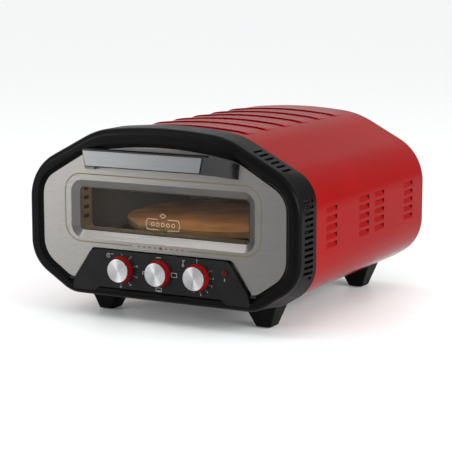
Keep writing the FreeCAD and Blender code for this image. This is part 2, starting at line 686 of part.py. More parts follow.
def cut_bezel_vents(body):
    """Slots in the side walls, and slots across the upper facets."""
    reach = "Dims.bezel_rear_side + Dims.cut_margin"
    high = "Dims.vent_first_z + Dims.vent_gap / 2"
    rear = "Dims.vent_front + Dims.vent_length"
    for _, side in SIDES:
        sketch = new_sketch(body, "YZ", f"{side} * ({reach})")
        outline(sketch, box_corners("Dims.vent_front", f"{high} - Dims.vent_gap", rear, high, "Dims.vent_corner"))
        slot = pocket(body, sketch, "Dims.vent_cut + Dims.cut_margin", backwards=side > 0)
        repeat(body, [slot], body_axis(body, "Z"), "Dims.vent_count", "Dims.vent_pitch")
    lean = "(90 - Dims.upper_angle)"
    lift = "(Dims.bezel_rear_upper + Dims.cut_margin)"
    for _, side in SIDES:
        turn = FreeCAD.Rotation(Y_AXIS, side * value(lean))
        sketch = new_sketch(body, "XY", "0", turn=turn)
        sketch.setExpression("AttachmentOffset.Base.x", f"{side} * {lift} * sin{lean}")
        sketch.setExpression("AttachmentOffset.Base.z", f"Dims.centre_z + {lift} * cos{lean}")
        start = f"{side} * Dims.corner_vent_start"
        ends = (f"{start} - Dims.vent_gap / 2", f"{start} + Dims.vent_gap / 2")
        outline(sketch, box_corners(ends[0], "Dims.vent_front", ends[1], rear, "Dims.vent_corner"))
        slot = pocket(body, sketch, "Dims.vent_cut + Dims.cut_margin", backwards=True)
        along = (sketch, ["H_Axis"])
        repeat(body, [slot], along, "Dims.corner_vent_count", "Dims.corner_vent_pitch")
        if side < 0:
            body.Tip.Reversed = True


def build_shell():
    body = new_body("outer_shell")
    ring = facet_sketch(body, SHELL, "Dims.shell_front", "0", "Dims.shell_wall")
    pad(body, ring, "Dims.body_depth - Dims.shell_front", backwards=True)
    flange_y = "Dims.body_depth - Dims.flange_inset - Dims.shell_wall"
    flange = facet_sketch(body, SHELL, flange_y, "Dims.shell_wall", "Dims.shell_wall + Dims.shell_flange")
    pad(body, flange, "Dims.shell_wall", backwards=True)
    underside = new_sketch(body, "XY", "0")
    half = "Dims.floor_half"
    outline(underside, box_corners(f"-{half}", "Dims.shell_front - Dims.cut_margin", half, flange_y))
    circles(underside, foot_screw_spots(), "Dims.screw_hole")
    pocket(body, underside, "Dims.centre_z - Dims.shell_bottom + 2 * Dims.shell_wall")
    for column in LOUVRE_COLUMNS:
        for _, side in SIDES:
            cut_louvres(body, side, f"Dims.louvre_front + {column} * Dims.louvre_step")
    crown = new_sketch(body, "XY", "Dims.centre_z + Dims.shell_crown + Dims.cut_margin")
    front = "Dims.rib_first_y"
    outline(crown, box_corners("-Dims.rib_half", front, "Dims.rib_half", f"{front} + Dims.rib_gap"))
    rib = pocket(body, crown, "Dims.rib_cut", backwards=True)
    repeat(body, [rib], body_axis(body, "Y"), "Dims.rib_count", "Dims.rib_pitch")
    rear_holes(body, flange_y)
    return body


def cut_louvres(body, side, front):
    """Column of louvres: each is a blade pressed inwards, flush at its foot and open along its top edge."""
    wall = "Dims.shell_side"
    low = "Dims.louvre_first_z"
    high = f"{low} + Dims.louvre_height"
    blade = [(f"{wall} - Dims.shell_wall / 2", f"{low} - Dims.shell_wall", "0"),
             (f"{wall} - Dims.shell_wall / 2", high, "0"),
             (f"{wall} - Dims.louvre_depth - Dims.shell_wall", high, "0")]
    outside = f"{wall} + Dims.shell_wall"
    recess = [(wall, low, "0"), (outside, low, "0"), (outside, high, "0"),
              (f"{wall} - Dims.louvre_depth", high, "0")]
    if side < 0:
        blade = [(f"-({x})", z, radius) for x, z, radius in reversed(blade)]
        recess = [(f"-({x})", z, radius) for x, z, radius in reversed(recess)]
    solid = new_sketch(body, "XZ", f"{front} - Dims.shell_wall")
    outline(solid, blade)
    pressed = pad(body, solid, "Dims.louvre_length + 2 * Dims.shell_wall", backwards=True)
    hollow = new_sketch(body, "XZ", front)
    outline(hollow, recess)
    opened = pocket(body, hollow, "Dims.louvre_length", backwards=True)
    repeat(body, [pressed, opened], body_axis(body, "Z"), "Dims.louvre_rows", "Dims.louvre_pitch")


def rear_screw_spots():
    """Eight screws around the rear panel, as (x, z) expressions about the centre height."""
    inset = "(Dims.shell_wall + Dims.shell_flange * 0.6)"
    side = f"Dims.shell_side - {inset}"
    half = [
        (side, "-Dims.rear_screw_side_z"),
        (side, "Dims.rear_screw_side_z"),
        ("Dims.rear_screw_crown_x", f"Dims.shell_crown - {inset} - Dims.rear_screw_crown_drop"),
        ("Dims.rear_screw_low_x", f"-(Dims.shell_bottom - {inset})"),
    ]
    return half + [(f"-({x})", z) for x, z in half]


def rear_holes(body, y):
    sketch = new_sketch(body, "XZ", y, "Dims.centre_z")
    circles(sketch, rear_screw_spots(), "Dims.screw_hole")
    pocket(body, sketch, "Dims.shell_wall + Dims.base_wall", backwards=True)


def build_rear_panel():
    body = new_body("rear_panel")
    y = "Dims.body_depth - Dims.flange_inset"
    plate = facet_sketch(body, SHELL, y, "Dims.shell_wall + Dims.rear_gap")
    pad(body, plate, "Dims.base_wall", backwards=True)
    rear_holes(body, y)
    length = "Dims.rear_vent_length"
    low = "Dims.louvre_first_z"
    for column in (-1, 0, 1):
        vents = new_sketch(body, "XZ", y)
        left = f"{column} * ({length} + Dims.rear_vent_space) - {length} / 2"
        high = f"{low} + Dims.louvre_gap"
        outline(vents, box_corners(left, low, f"{left} + {length}", high, "Dims.vent_corner"))
        slot = pocket(body, vents, "Dims.base_wall", backwards=True)
        repeat(body, [slot], body_axis(body, "Z"), "Dims.rear_vent_rows", "Dims.louvre_pitch")
    gland = new_sketch(body, "XZ", y)
    circles(gland, [("Dims.gland_x", "Dims.gland_z")], "Dims.gland_radius")
    pocket(body, gland, "Dims.base_wall", backwards=True)


def build_gland():
    """Flanged bush in the rear panel, with the bore through which the mains lead comes out."""
    body = new_body("cable_gland")
    y = "Dims.body_depth - Dims.flange_inset + Dims.base_wall"
    flange = new_sketch(body, "XZ", y)
    circles(flange, [("Dims.gland_x", "Dims.gland_z")], "Dims.gland_flange")
    pad(body, flange, "Dims.gland_flange_depth", backwards=True)
    inner_end = f"{y} - Dims.gland_tail"
    barrel = new_sketch(body, "XZ", inner_end)
    circles(barrel, [("Dims.gland_x", "Dims.gland_z")], "Dims.gland_radius - Dims.gland_play")
    pad(body, barrel, f"Dims.body_depth + Dims.gland_reach - ({inner_end})", backwards=True)
    bore = new_sketch(body, "XZ", inner_end)
    circles(bore, [("Dims.gland_x", "Dims.gland_z")], "Dims.gland_bore")
    pocket(body, bore, "Dims.body_depth", backwards=True)


def foot_spots():
    """(name, side, front of the sole) of the four feet."""
    rows = [("front", "Dims.front_foot_y"), ("rear", "Dims.rear_foot_y")]
    return [(f"foot_{row}_{name}", side, y) for row, y in rows for name, side in SIDES]


def foot_centre(side, y):
    """Middle of a foot's sole, as (x, y) expressions."""
    return f"{side} * (Dims.foot_inner + Dims.foot_outer) / 2", f"{y} + Dims.foot_length / 2"


def foot_screw_spots():
    return [foot_centre(side, y) for _, side, y in foot_spots()]


def foot_section(body, z, side, inner, outer, front, back):
    sketch = new_sketch(body, "XY", z)
    ends = (inner, outer) if side > 0 else (f"-({outer})", f"-({inner})")
    outline(sketch, box_corners(ends[0], front, ends[1], back, "Dims.foot_edge"))
    return sketch


def build_feet():
    """Moulded blocks that widen towards the base, each with a screw hole from below."""
    for name, side, y in foot_spots():
        body = new_body(name)
        back = f"{y} + Dims.foot_length"
        straight = ("Dims.foot_inner", "Dims.foot_outer", y, back)
        sole = foot_section(body, "Dims.pad_height", side, *straight)
        flared = (
            "Dims.foot_inner - Dims.foot_flare_in",
            "Dims.foot_outer + Dims.foot_flare_out",
            f"{y} - Dims.foot_flare_y",
            f"{back} + Dims.foot_flare_y",
        )
        top = foot_section(body, "Dims.foot_height", side, *flared)
        loft(body, [sole, top])
        centre = [foot_centre(side, y)]
        hole = new_sketch(body, "XY", "0")
        circles(hole, centre, "Dims.screw_hole")
        pocket(body, hole, "Dims.foot_height")
        well = new_sketch(body, "XY", "0")
        circles(well, centre, "Dims.screw_head + Dims.head_play")
        pocket(body, well, "Dims.foot_height / 2")


def build_base_plate():
    body = new_body("base_plate")
    bottom = "Dims.foot_height + Dims.shell_wall"
    sketch = new_sketch(body, "XY", bottom)
    half = "Dims.base_half"
    rear = "Dims.body_depth - Dims.flange_inset - 2 * Dims.shell_wall"
    outline(sketch, box_corners(f"-{half}", "Dims.base_front", half, rear))
    pad(body, sketch, "Dims.base_wall")
    holes = new_sketch(body, "XY", bottom)
    circles(holes, foot_screw_spots(), "Dims.screw_hole")
    pocket(body, holes, "Dims.base_wall")
    vents = new_sketch(body, "XY", bottom)
    left = "Dims.base_vent_first"
    front = "Dims.base_vent_front"
    outline(vents, box_corners(left, front, f"{left} + Dims.base_vent_width",
                               f"{front} + Dims.base_vent_length", "Dims.base_vent_corner"))
    slot = pocket(body, vents, "Dims.base_wall")
    repeat(body, [slot], body_axis(body, "X"), "Dims.base_vent_count", "Dims.base_vent_pitch")


# ---------------------------------------------------------------- door

def window_corners(grow, corner):
    half = f"Dims.window_half + {grow}"
    low = f"Dims.window_low - ({grow})"
    return box_corners(f"-({half})", low, half, f"Dims.window_high + {grow}", corner)


def build_door_panel():
    """Brushed steel skin with a pressed bevel around the window and a cut-out around the controls."""
    body = new_body("door_panel")
    facets = door_facets("Dims.door_bottom", "Dims.door_leg_corner")
    pad(body, facet_sketch(body, facets, "Dims.door_face"), "Dims.skin", backwards=True)
    window_back = "Dims.door_face + Dims.bevel_depth"
    lip = "Dims.skin"
    for extra, cut in ((lip, False), ("0", True)):
        front = new_sketch(body, "XZ", "Dims.door_face")
        outline(front, window_corners(f"Dims.bevel_out + {extra}", f"Dims.bevel_corner + {extra}"))
        back = new_sketch(body, "XZ", window_back)
        outline(back, window_corners(extra, f"Dims.window_corner + {extra}"))
        loft(body, [front, back], cut=cut)
    notch = new_sketch(body, "XZ", "Dims.door_face")
    half = [
        ("Dims.notch_leg_half", "Dims.hinge_z - Dims.cut_margin", "0"),
        ("Dims.notch_leg_half", "Dims.notch_leg_top", "Dims.notch_leg_corner"),
        ("Dims.notch_top_half", "Dims.notch_top", "Dims.notch_corner"),
    ]
    outline(notch, mirrored(half))
    pocket(body, notch, "Dims.bevel_depth", backwards=True)


def build_door_inner_panel():
    """Shallow pressed pan behind the skin, open to the front, with a hole for the window liner."""
    body = new_body("door_inner_panel")
    y = "Dims.pan_front"

    def pan_corners(inset):
        return mirrored([
            (f"Dims.pan_half - {inset}", f"Dims.pan_low + {inset}", "Dims.pan_low_corner"),
            (f"Dims.pan_half - {inset}", "Dims.pan_shoulder", "Dims.pan_corner"),
            (f"Dims.pan_top_half - {inset}", f"Dims.pan_high - {inset}", "Dims.pan_corner"),
        ])

    sketch = new_sketch(body, "XZ", y)
    outline(sketch, pan_corners("0"))
    pad(body, sketch, "Dims.pan_back - Dims.pan_front", backwards=True)
    hollow = new_sketch(body, "XZ", y)
    outline(hollow, pan_corners("Dims.pan_wall"))
    pocket(body, hollow, "Dims.pan_back - Dims.pan_front - Dims.pan_wall", backwards=True)
    window = new_sketch(body, "XZ", y)
    outline(window, window_corners("Dims.liner_wall + Dims.liner_play", "Dims.window_corner"))
    pocket(body, window, "Dims.pan_back", backwards=True)


def build_door_glass(name, y):
    body = new_body(name)
    sketch = new_sketch(body, "XZ", y)
    outline(sketch, window_corners("Dims.pane_lap", "Dims.pane_corner"))
    pad(body, sketch, "Dims.glass", backwards=True)


def build_window_liner():
    """Four-sided sheet tunnel between the panes, with slots in its side walls."""
    body = new_body("window_liner")
    front = "Dims.outer_glass_y + Dims.glass"
    sketch = new_sketch(body, "XZ", front)
    outline(sketch, window_corners("Dims.liner_wall", "Dims.window_corner"))
    outline(sketch, window_corners("0", "Dims.window_corner - Dims.liner_wall"))
    pad(body, sketch, f"Dims.inner_glass_y - ({front})", backwards=True)
    slots = new_sketch(body, "YZ", "-Dims.window_half - 2 * Dims.liner_wall")
    low = "Dims.liner_slot_first - Dims.liner_slot / 2"
    start = f"{front} + Dims.liner_slot_start"
    outline(slots, box_corners(start, low, f"{start} + Dims.liner_slot_length", f"{low} + Dims.liner_slot",
                               "Dims.liner_slot_corner"))
    slot = pocket(body, slots, "2 * (Dims.window_half + 2 * Dims.liner_wall)")
    repeat(body, [slot], body_axis(body, "Z"), "Dims.liner_slot_count", "Dims.liner_slot_pitch")


def build_door_seal():
    body = new_body("door_seal")
    half = "Dims.seal_half"
    wide = "Dims.seal_width"
    sketch = new_sketch(body, "XZ", "Dims.pan_back")
    outline(sketch, box_corners(f"-{half}", "Dims.seal_low", half, "Dims.seal_high", "Dims.seal_corner"))
    inner = box_corners(f"-{half} + {wide}", f"Dims.seal_low + {wide}", f"{half} - {wide}",
                        f"Dims.seal_high - {wide}", f"Dims.seal_corner - {wide}")
    outline(sketch, inner)
    pad(body, sketch, "Dims.seal_depth", backwards=True)


def build_glass_clips():
    """Four corner clips that press the outer pane against the skin."""
    clips = []
    for side in (-1, 1):
        for top in (0, 1):
            clip = doc.addObject("Part::Box", "clip")
            clip.setExpression("Length", "Dims.clip_width")
            clip.setExpression("Width", "Dims.pan_back - Dims.pan_wall - Dims.outer_glass_y - Dims.glass")
            clip.setExpression("Height", "Dims.clip_height")
            x = "Dims.window_half + Dims.clip_gap"
            if side < 0:
                x = f"-({x} + Dims.clip_width)"
            z = "Dims.window_low + Dims.clip_end"
            if top:
                z = "Dims.window_high - Dims.clip_end - Dims.clip_height"
            clip.setExpression("Placement.Base.x", x)
            clip.setExpression("Placement.Base.y", f"{FRONT} + Dims.outer_glass_y + Dims.glass")
            clip.setExpression("Placement.Base.z", z)
            clips.append(clip)
    group("glass_clips", clips)


def group(name, members):
    """Identical loose pieces kept as one node of separate solids."""
    compound = doc.addObject("Part::Compound", name)
    compound.Label = name
    compound.Links = members
    return keep(compound)


def cylinder(name, radius, height, x, y, z, direction):
    """Cylinder of the given radius and length whose base centre is at x, y, z (y from the crest)."""
    item = doc.addObject("Part::Cylinder", name)
    item.setExpression("Radius", radius)
    item.setExpression("Height", height)
    item.Placement = FreeCAD.Placement(FreeCAD.Vector(), FreeCAD.Rotation(Z_AXIS, direction))
    item.setExpression("Placement.Base.x", x)
    item.setExpression("Placement.Base.y", f"{FRONT} + {y}")
    item.setExpression("Placement.Base.z", z)
    return item


def build_hinges():
    """A strap with a barrel behind each door leg, and the fixed pins on which the barrels turn."""
    for name, side in SIDES:
        body = new_body(f"door_hinge_{name}")
        start = "Dims.hinge_inner" if side > 0 else "-Dims.hinge_outer"
        width = "Dims.hinge_outer - Dims.hinge_inner"
        barrel = new_sketch(body, "YZ", start)
        circles(barrel, [("Dims.door_face", "Dims.hinge_z")], "Dims.barrel_radius")
        pad(body, barrel, width)
        strap = new_sketch(body, "YZ", start)
        back = "Dims.door_face + Dims.skin"
        outline(strap, box_corners(back, "Dims.hinge_z", f"{back} + Dims.hinge_plate",
                                   "Dims.hinge_plate_top"))
        pad(body, strap, width)
        bore = new_sketch(body, "YZ", start)
        circles(bore, [("Dims.door_face", "Dims.hinge_z")], "Dims.pin_radius + Dims.pin_play")
        pocket(body, bore, width)
    pins = []
    for _, side in SIDES:
        x = "Dims.hinge_inner - Dims.pin_tail" if side > 0 else "-Dims.pin_end"
        length = "Dims.pin_end - Dims.hinge_inner + Dims.pin_tail"
        spot = (x, "Dims.door_face", "Dims.hinge_z")
        pins.append(cylinder("pin", "Dims.pin_radius", length, *spot, X_AXIS))
    group("hinge_pins", pins)


def build_handle():
    """Bar on two splayed arms that drop towards the door, with a metal face on its front.

    An arm is lofted through three sections, each given as depth, place, width, underside and height.
    """
    body = new_body("handle_core")
    bar = new_sketch(body, "XZ", "Dims.handle_cover - Dims.handle_reach")
    grow = "Dims.handle_edge"
    outline(bar, mirrored([
        (f"Dims.handle_half_low + {grow}", f"Dims.handle_low - {grow}", "0"),
        (f"Dims.handle_half_high + {grow}", f"Dims.handle_high + {grow}", "0"),
    ]))
    pad(body, bar, "Dims.handle_reach - Dims.handle_cover - Dims.handle_back", backwards=True)
    bar_width = f"Dims.handle_half_low + {grow} - Dims.arm_bar_inner"
    bar_height = f"Dims.handle_high - Dims.handle_low + 2 * {grow}"
    sections = [
        ("Dims.handle_cover - Dims.handle_reach", "bar", bar_width, f"Dims.handle_low - {grow}", bar_height),
        ("-Dims.handle_knee_y", "knee", "Dims.arm_width", "Dims.arm_knee_low", "Dims.arm_knee_height"),
        ("Dims.door_face", "root", "Dims.arm_width", "Dims.arm_root_low", "Dims.arm_root_height"),
    ]
    for _, side in SIDES:
        sketches = []
        for y, place, width, low, height in sections:
            inner = f"Dims.arm_{place}_inner"
            lean = f"Dims.arm_{place}_lean"
            outer = f"{inner} + {width}"
            high = f"{low} + {height}"
            corners = [(inner, low, "0"), (outer, low, "0"),
                       (f"{outer} + {lean}", high, "0"), (f"{inner} + {lean}", high, "0")]
            if side < 0:
                corners = [(f"-({x})", z, radius) for x, z, radius in reversed(corners)]
            sketch = new_sketch(body, "XZ", y)
            outline(sketch, corners)
            sketches.append(sketch)
        loft(body, sketches)
    cover = new_body("handle_cover")
    face = new_sketch(cover, "XZ", "-Dims.handle_reach")
    outline(face, mirrored([
        ("Dims.handle_half_low", "Dims.handle_low", "Dims.cover_corner"),
        ("Dims.handle_half_high", "Dims.handle_high", "Dims.cover_corner"),
    ]))
    pad(cover, face, "Dims.handle_cover", backwards=True)


# ---------------------------------------------------------------- controls

def build_control_panel():
    body = new_body("control_panel")
    face = new_sketch(body, "XZ", "Dims.panel_front")
    outline(face, mirrored(CONTROL_OUTLINE))
    pad(body, face, "Dims.panel_wall", backwards=True)
    holes = new_sketch(body, "XZ", "Dims.panel_front")
    circles(holes, [(x, "Dims.knob_z") for _, x in KNOBS], "Dims.shaft_hole")
    circles(holes, [("Dims.lamp_x", "Dims.lamp_z")], "Dims.lamp_radius + Dims.lens_play")
    pocket(body, holes, "Dims.panel_wall", backwards=True)


def build_knob(name, x):
    """Red skirt, spun metal cap with a pointer groove, and the shaft that both sit on."""
    back = "Dims.panel_front - Dims.knob_gap"
    cap_back = "Dims.knob_cap_depth - Dims.knob_face"
    skirt = new_body(f"{name}_knob_skirt")
    sections = []
    for y, radius in ((cap_back, "Dims.knob_front_radius"), (back, "Dims.knob_back_radius")):
        section = new_sketch(skirt, "XZ", y)
        circles(section, [(x, "Dims.knob_z")], radius)
        sections.append(section)
    loft(skirt, sections)
    bore = new_sketch(skirt, "XZ", cap_back)
    circles(bore, [(x, "Dims.knob_z")], "Dims.shaft_radius")
    pocket(skirt, bore, f"{back} - ({cap_back})", backwards=True)
    cap = new_body(f"{name}_knob_cap")
    face = new_sketch(cap, "XZ", "-Dims.knob_face")
    circles(face, [(x, "Dims.knob_z")], "Dims.knob_cap_radius")
    pad(cap, face, "Dims.knob_cap_depth", backwards=True)
    front = value("-Dims.knob_face")
    round_edges(cap, side_range("y", front - TINY, front + TINY), "Dims.cap_edge")
    turn = FreeCAD.Rotation(Z_AXIS, value(f"Dims.{name}_pointer"))
    groove = new_sketch(cap, "XZ", "-Dims.knob_face", "Dims.knob_z", turn)
    groove.setExpression("AttachmentOffset.Base.x", x)
    groove.setExpression("AttachmentOffset.Rotation.Angle", f"Dims.{name}_pointer * 1deg")
    half = "Dims.pointer_width / 2"
    outline(groove, box_corners(f"-{half}", "Dims.pointer_start", half, "Dims.pointer_end"))
    pocket(cap, groove, "Dims.pointer_depth", backwards=True)
    length = f"Dims.shaft_end - ({cap_back})"
    keep(cylinder(f"{name}_shaft", "Dims.shaft_radius", length, x, f"({cap_back})", "Dims.knob_z", Y_AXIS))


def build_lamp():
    lens = new_body("indicator_lens")
    front = "Dims.panel_front - Dims.lens_height"
    dome = new_sketch(lens, "XZ", front)
    circles(dome, [("Dims.lamp_x", "Dims.lamp_z")], "Dims.lamp_radius")
    pad(lens, dome, "Dims.panel_wall + Dims.lens_height", backwards=True)
    edge = value(front)
    round_edges(lens, side_range("y", edge - TINY, edge + TINY), "Dims.lens_round")
    spot = ("Dims.lamp_x", "Dims.panel_front + Dims.panel_wall", "Dims.lamp_z")
    keep(cylinder("indicator_lamp", "Dims.lamp_radius - Dims.lamp_wall", "Dims.lamp_depth", *spot, Y_AXIS))


def build_control_bracket():
    """Folded sheet behind the control panel that carries the timer, the switch and the thermostat."""
    body = new_body("control_bracket")
    sketch = new_sketch(body, "XZ", "Dims.bracket_y")
    half = "Dims.bracket_half"
    outline(sketch, box_corners(f"-{half}", "Dims.bracket_low", half, "Dims.bracket_high",
                                "Dims.bracket_corner"))
    pad(body, sketch, "Dims.bracket_wall", backwards=True)
    foot = new_sketch(body, "XZ", "Dims.bracket_y")
    low = "Dims.bracket_low"
    outline(foot, box_corners(f"-{half}", low, half, f"{low} + Dims.bracket_wall"))
    pad(body, foot, "Dims.bracket_foot", backwards=True)
    holes = new_sketch(body, "XZ", "Dims.bracket_y")
    circles(holes, [(x, "Dims.knob_z") for _, x in KNOBS], "Dims.shaft_hole")
    pocket(body, holes, "Dims.bracket_wall", backwards=True)


def build_control_unit(name, x, half, height, depth):
    """Housing behind the bracket: a block with a round cover and a bore for its shaft."""
    body = new_body(name)
    y = "Dims.bracket_y + Dims.bracket_wall"
    block = new_sketch(body, "XZ", y)
    low = f"Dims.knob_z - {height} / 2"
    high = f"Dims.knob_z + {height} / 2"
    outline(block, box_corners(f"{x} - {half}", low, f"{x} + {half}", high, "Dims.device_corner"))
    pad(body, block, f"({depth}) / 2", backwards=True)
    cover = new_sketch(body, "XZ", f"{y} + ({depth}) / 2")
    circles(cover, [(x, "Dims.knob_z")], f"{height} / 2 - Dims.device_rim")
    pad(body, cover, f"({depth}) / 2", backwards=True)
    bore = new_sketch(body, "XZ", y)
    circles(bore, [(x, "Dims.knob_z")], "Dims.shaft_hole")
    pocket(body, bore, f"Dims.shaft_end - ({y}) + Dims.device_rim", backwards=True)


# ---------------------------------------------------------------- cooking chamber

def build_front_frame():
    body = new_body("front_frame")
    facets = [("-90", "Dims.frame_low + Dims.frame_inset", "Dims.frame_inset + Dims.frame_corner")]
    facets += SHELL[2:]
    sketch = facet_sketch(body, facets, "Dims.sleeve_depth", "Dims.frame_inset")
    pad(body, sketch, "Dims.frame_wall", backwards=True)
    mouth = new_sketch(body, "XZ", "Dims.sleeve_depth")
    half = "Dims.mouth_half"
    outline(mouth, box_corners(f"-{half}", "Dims.mouth_low", half, "Dims.mouth_high", "Dims.mouth_corner"))
    pocket(body, mouth, "Dims.frame_wall", backwards=True)


def build_chamber():
    body = new_body("oven_chamber")
    front = "Dims.sleeve_depth + Dims.frame_wall"
    half = "Dims.chamber_half"
    wall = "Dims.chamber_wall"
    sketch = new_sketch(body, "XZ", front)
    outline(sketch, box_corners(f"-{half}", "Dims.chamber_low", half, "Dims.chamber_high",
                                "Dims.chamber_corner"))
    pad(body, sketch, f"Dims.chamber_rear - ({front})", backwards=True)
    hollow = new_sketch(body, "XZ", front)
    outline(hollow, box_corners(f"-{half} + {wall}", f"Dims.chamber_low + {wall}", f"{half} - {wall}",
                                f"Dims.chamber_high - {wall}", f"Dims.chamber_corner - {wall}"))
    pocket(body, hollow, f"Dims.chamber_rear - ({front}) - {wall}", backwards=True)
    holes = new_sketch(body, "XZ", "Dims.chamber_rear - 2 * Dims.chamber_wall")
    spots = [(f"{side} * Dims.element_half", z) for side in (-1, 1)
             for z in ("Dims.upper_element_z", "Dims.lower_element_z")]
    circles(holes, spots, "Dims.element_radius + Dims.element_play")
    pocket(body, holes, "3 * Dims.chamber_wall", backwards=True)


def build_stone():
    keep(cylinder("baking_stone", "Dims.stone_radius", "Dims.stone_depth", "0", "Dims.stone_y",
                  "Dims.stone_low", Z_AXIS))
    blocks = []
    for side in (-1, 1):
        for y in (-1, 1):
            block = doc.addObject("Part::Box", "stone_rest")
            block.setExpression("Length", "Dims.rest_size")
            block.setExpression("Width", "Dims.rest_size")
            block.setExpression("Height", "Dims.stone_low - Dims.chamber_low - Dims.chamber_wall")
            left = f"{side} * Dims.rest_offset - Dims.rest_size / 2"
            front = f"Dims.stone_y + {y} * Dims.rest_offset - Dims.rest_size / 2"
            block.setExpression("Placement.Base.x", left)
            block.setExpression("Placement.Base.y", f"{FRONT} + {front}")
            block.setExpression("Placement.Base.z", "Dims.chamber_low + Dims.chamber_wall")
            blocks.append(block)
    group("stone_rests", blocks)


def build_element(name, z):
    """Metal-sheathed heating rod: a U with rounded front corners, its ends through the rear wall."""
    body = new_body(name)
    path = new_sketch(body, "XY", z)
    bend = value("Dims.element_bend")
    half = value("Dims.element_half")
    front = value("Dims.element_front")
    rear = value("Dims.chamber_rear + Dims.terminal_reach")
    left = FreeCAD.Vector(-half + bend, front + bend, 0)
    right = FreeCAD.Vector(half - bend, front + bend, 0)
    reach = FreeCAD.Vector(bend, 0, 0)
    drop = FreeCAD.Vector(0, -bend, 0)
    loops = [
        Part.LineSegment(FreeCAD.Vector(-half, rear, 0), left - reach),
        Part.ArcOfCircle(Part.Circle(left, Z_AXIS, bend), math.pi, 1.5 * math.pi),
        Part.LineSegment(left + drop, right + drop),
        Part.ArcOfCircle(Part.Circle(right, Z_AXIS, bend), -0.5 * math.pi, 0),
        Part.LineSegment(right + reach, FreeCAD.Vector(half, rear, 0)),
    ]
    sketch_items = path.addGeometry(loops, False)
    first = sketch_items[0]
    back = "Dims.chamber_rear + Dims.terminal_reach"
    bind(path, [
        (Sketcher.Constraint("Tangent", first, 2, first + 1, 1), None),
        (Sketcher.Constraint("Tangent", first + 1, 2, first + 2, 1), None),
        (Sketcher.Constraint("Tangent", first + 2, 2, first + 3, 1), None),
        (Sketcher.Constraint("Tangent", first + 3, 2, first + 4, 1), None),
        (Sketcher.Constraint("Vertical", first), None),
        (Sketcher.Constraint("Vertical", first + 4), None),
        (Sketcher.Constraint("Radius", first + 1, bend), "Dims.element_bend"),
        (Sketcher.Constraint("Radius", first + 3, bend), "Dims.element_bend"),
        (Sketcher.Constraint("DistanceX", -1, 1, first, 1, -half), "-Dims.element_half"),
        (Sketcher.Constraint("DistanceY", -1, 1, first, 1, rear), back),
        (Sketcher.Constraint("DistanceX", -1, 1, first + 4, 2, half), "Dims.element_half"),
        (Sketcher.Constraint("DistanceY", -1, 1, first + 4, 2, rear), back),
        (Sketcher.Constraint("DistanceY", -1, 1, first + 2, 1, front), "Dims.element_front"),
    ])
    section = new_sketch(body, "XZ", back)
    circles(section, [("-Dims.element_half", z)], "Dims.element_radius")
    pipe = body.newObject("PartDesign::AdditivePipe", f"{name}_rod")
    pipe.Profile = section
    pipe.Spine = path


def build_insulation():
    """Fibre blanket over the roof and both sides of the chamber, with the rear left open."""
    body = new_body("insulation_blanket")
    sketch = new_sketch(body, "XZ", "Dims.sleeve_depth + Dims.frame_wall + Dims.blanket_front")
    inner = "Dims.chamber_half + Dims.blanket_gap"
    roof = "Dims.chamber_high + Dims.blanket_gap"
    half = [
        (inner, "Dims.chamber_low", "0"),
        (f"{inner} + Dims.blanket", "Dims.chamber_low", "0"),
        (f"{inner} + Dims.blanket", f"{roof} + Dims.blanket", "Dims.blanket_corner"),
    ]
    bend = "Dims.blanket_bend"
    edge = f"-({inner})"
    inner_half = [(edge, "Dims.chamber_low", "0"), (edge, roof, bend), (inner, roof, bend)]
    left = [(f"-({x})", y, radius) for x, y, radius in reversed(half[1:])]
    outline(sketch, half + left + inner_half)
    pad(body, sketch, "Dims.chamber_rear - Dims.sleeve_depth - Dims.blanket_short", backwards=True)


def build_chamber_legs():
    legs = []
    for side in (-1, 1):
        for y in ("Dims.leg_front", "Dims.leg_rear"):
            leg = doc.addObject("Part::Box", "leg")
            leg.setExpression("Length", "Dims.leg_width")
            leg.setExpression("Width", "Dims.leg_length")
            leg.setExpression("Height", f"Dims.chamber_low - ({ON_BASE})")
            leg.setExpression("Placement.Base.x", f"{side} * Dims.leg_x - Dims.leg_width / 2")
            leg.setExpression("Placement.Base.y", f"{FRONT} + {y}")
            leg.setExpression("Placement.Base.z", ON_BASE)
            legs.append(leg)
    group("chamber_legs", legs)


def build_heat_shield():
    body = new_body("heat_shield")
    sketch = new_sketch(body, "XY", "Dims.shield_z")
    half = "Dims.shield_half"
    outline(sketch, box_corners(f"-{half}", "Dims.shield_front", half, "Dims.shield_rear",
                                "Dims.shield_corner"))
    pad(body, sketch, "Dims.base_wall")
    front = "Dims.shield_leg_front"
    for left in (f"-{half}", f"{half} - Dims.shield_leg_width"):
        edge = new_sketch(body, "XY", ON_BASE)
        outline(edge, box_corners(left, front, f"{left} + Dims.shield_leg_width",
                                  f"{front} + Dims.shield_leg_length"))
        pad(body, edge, f"Dims.shield_z - ({ON_BASE})")


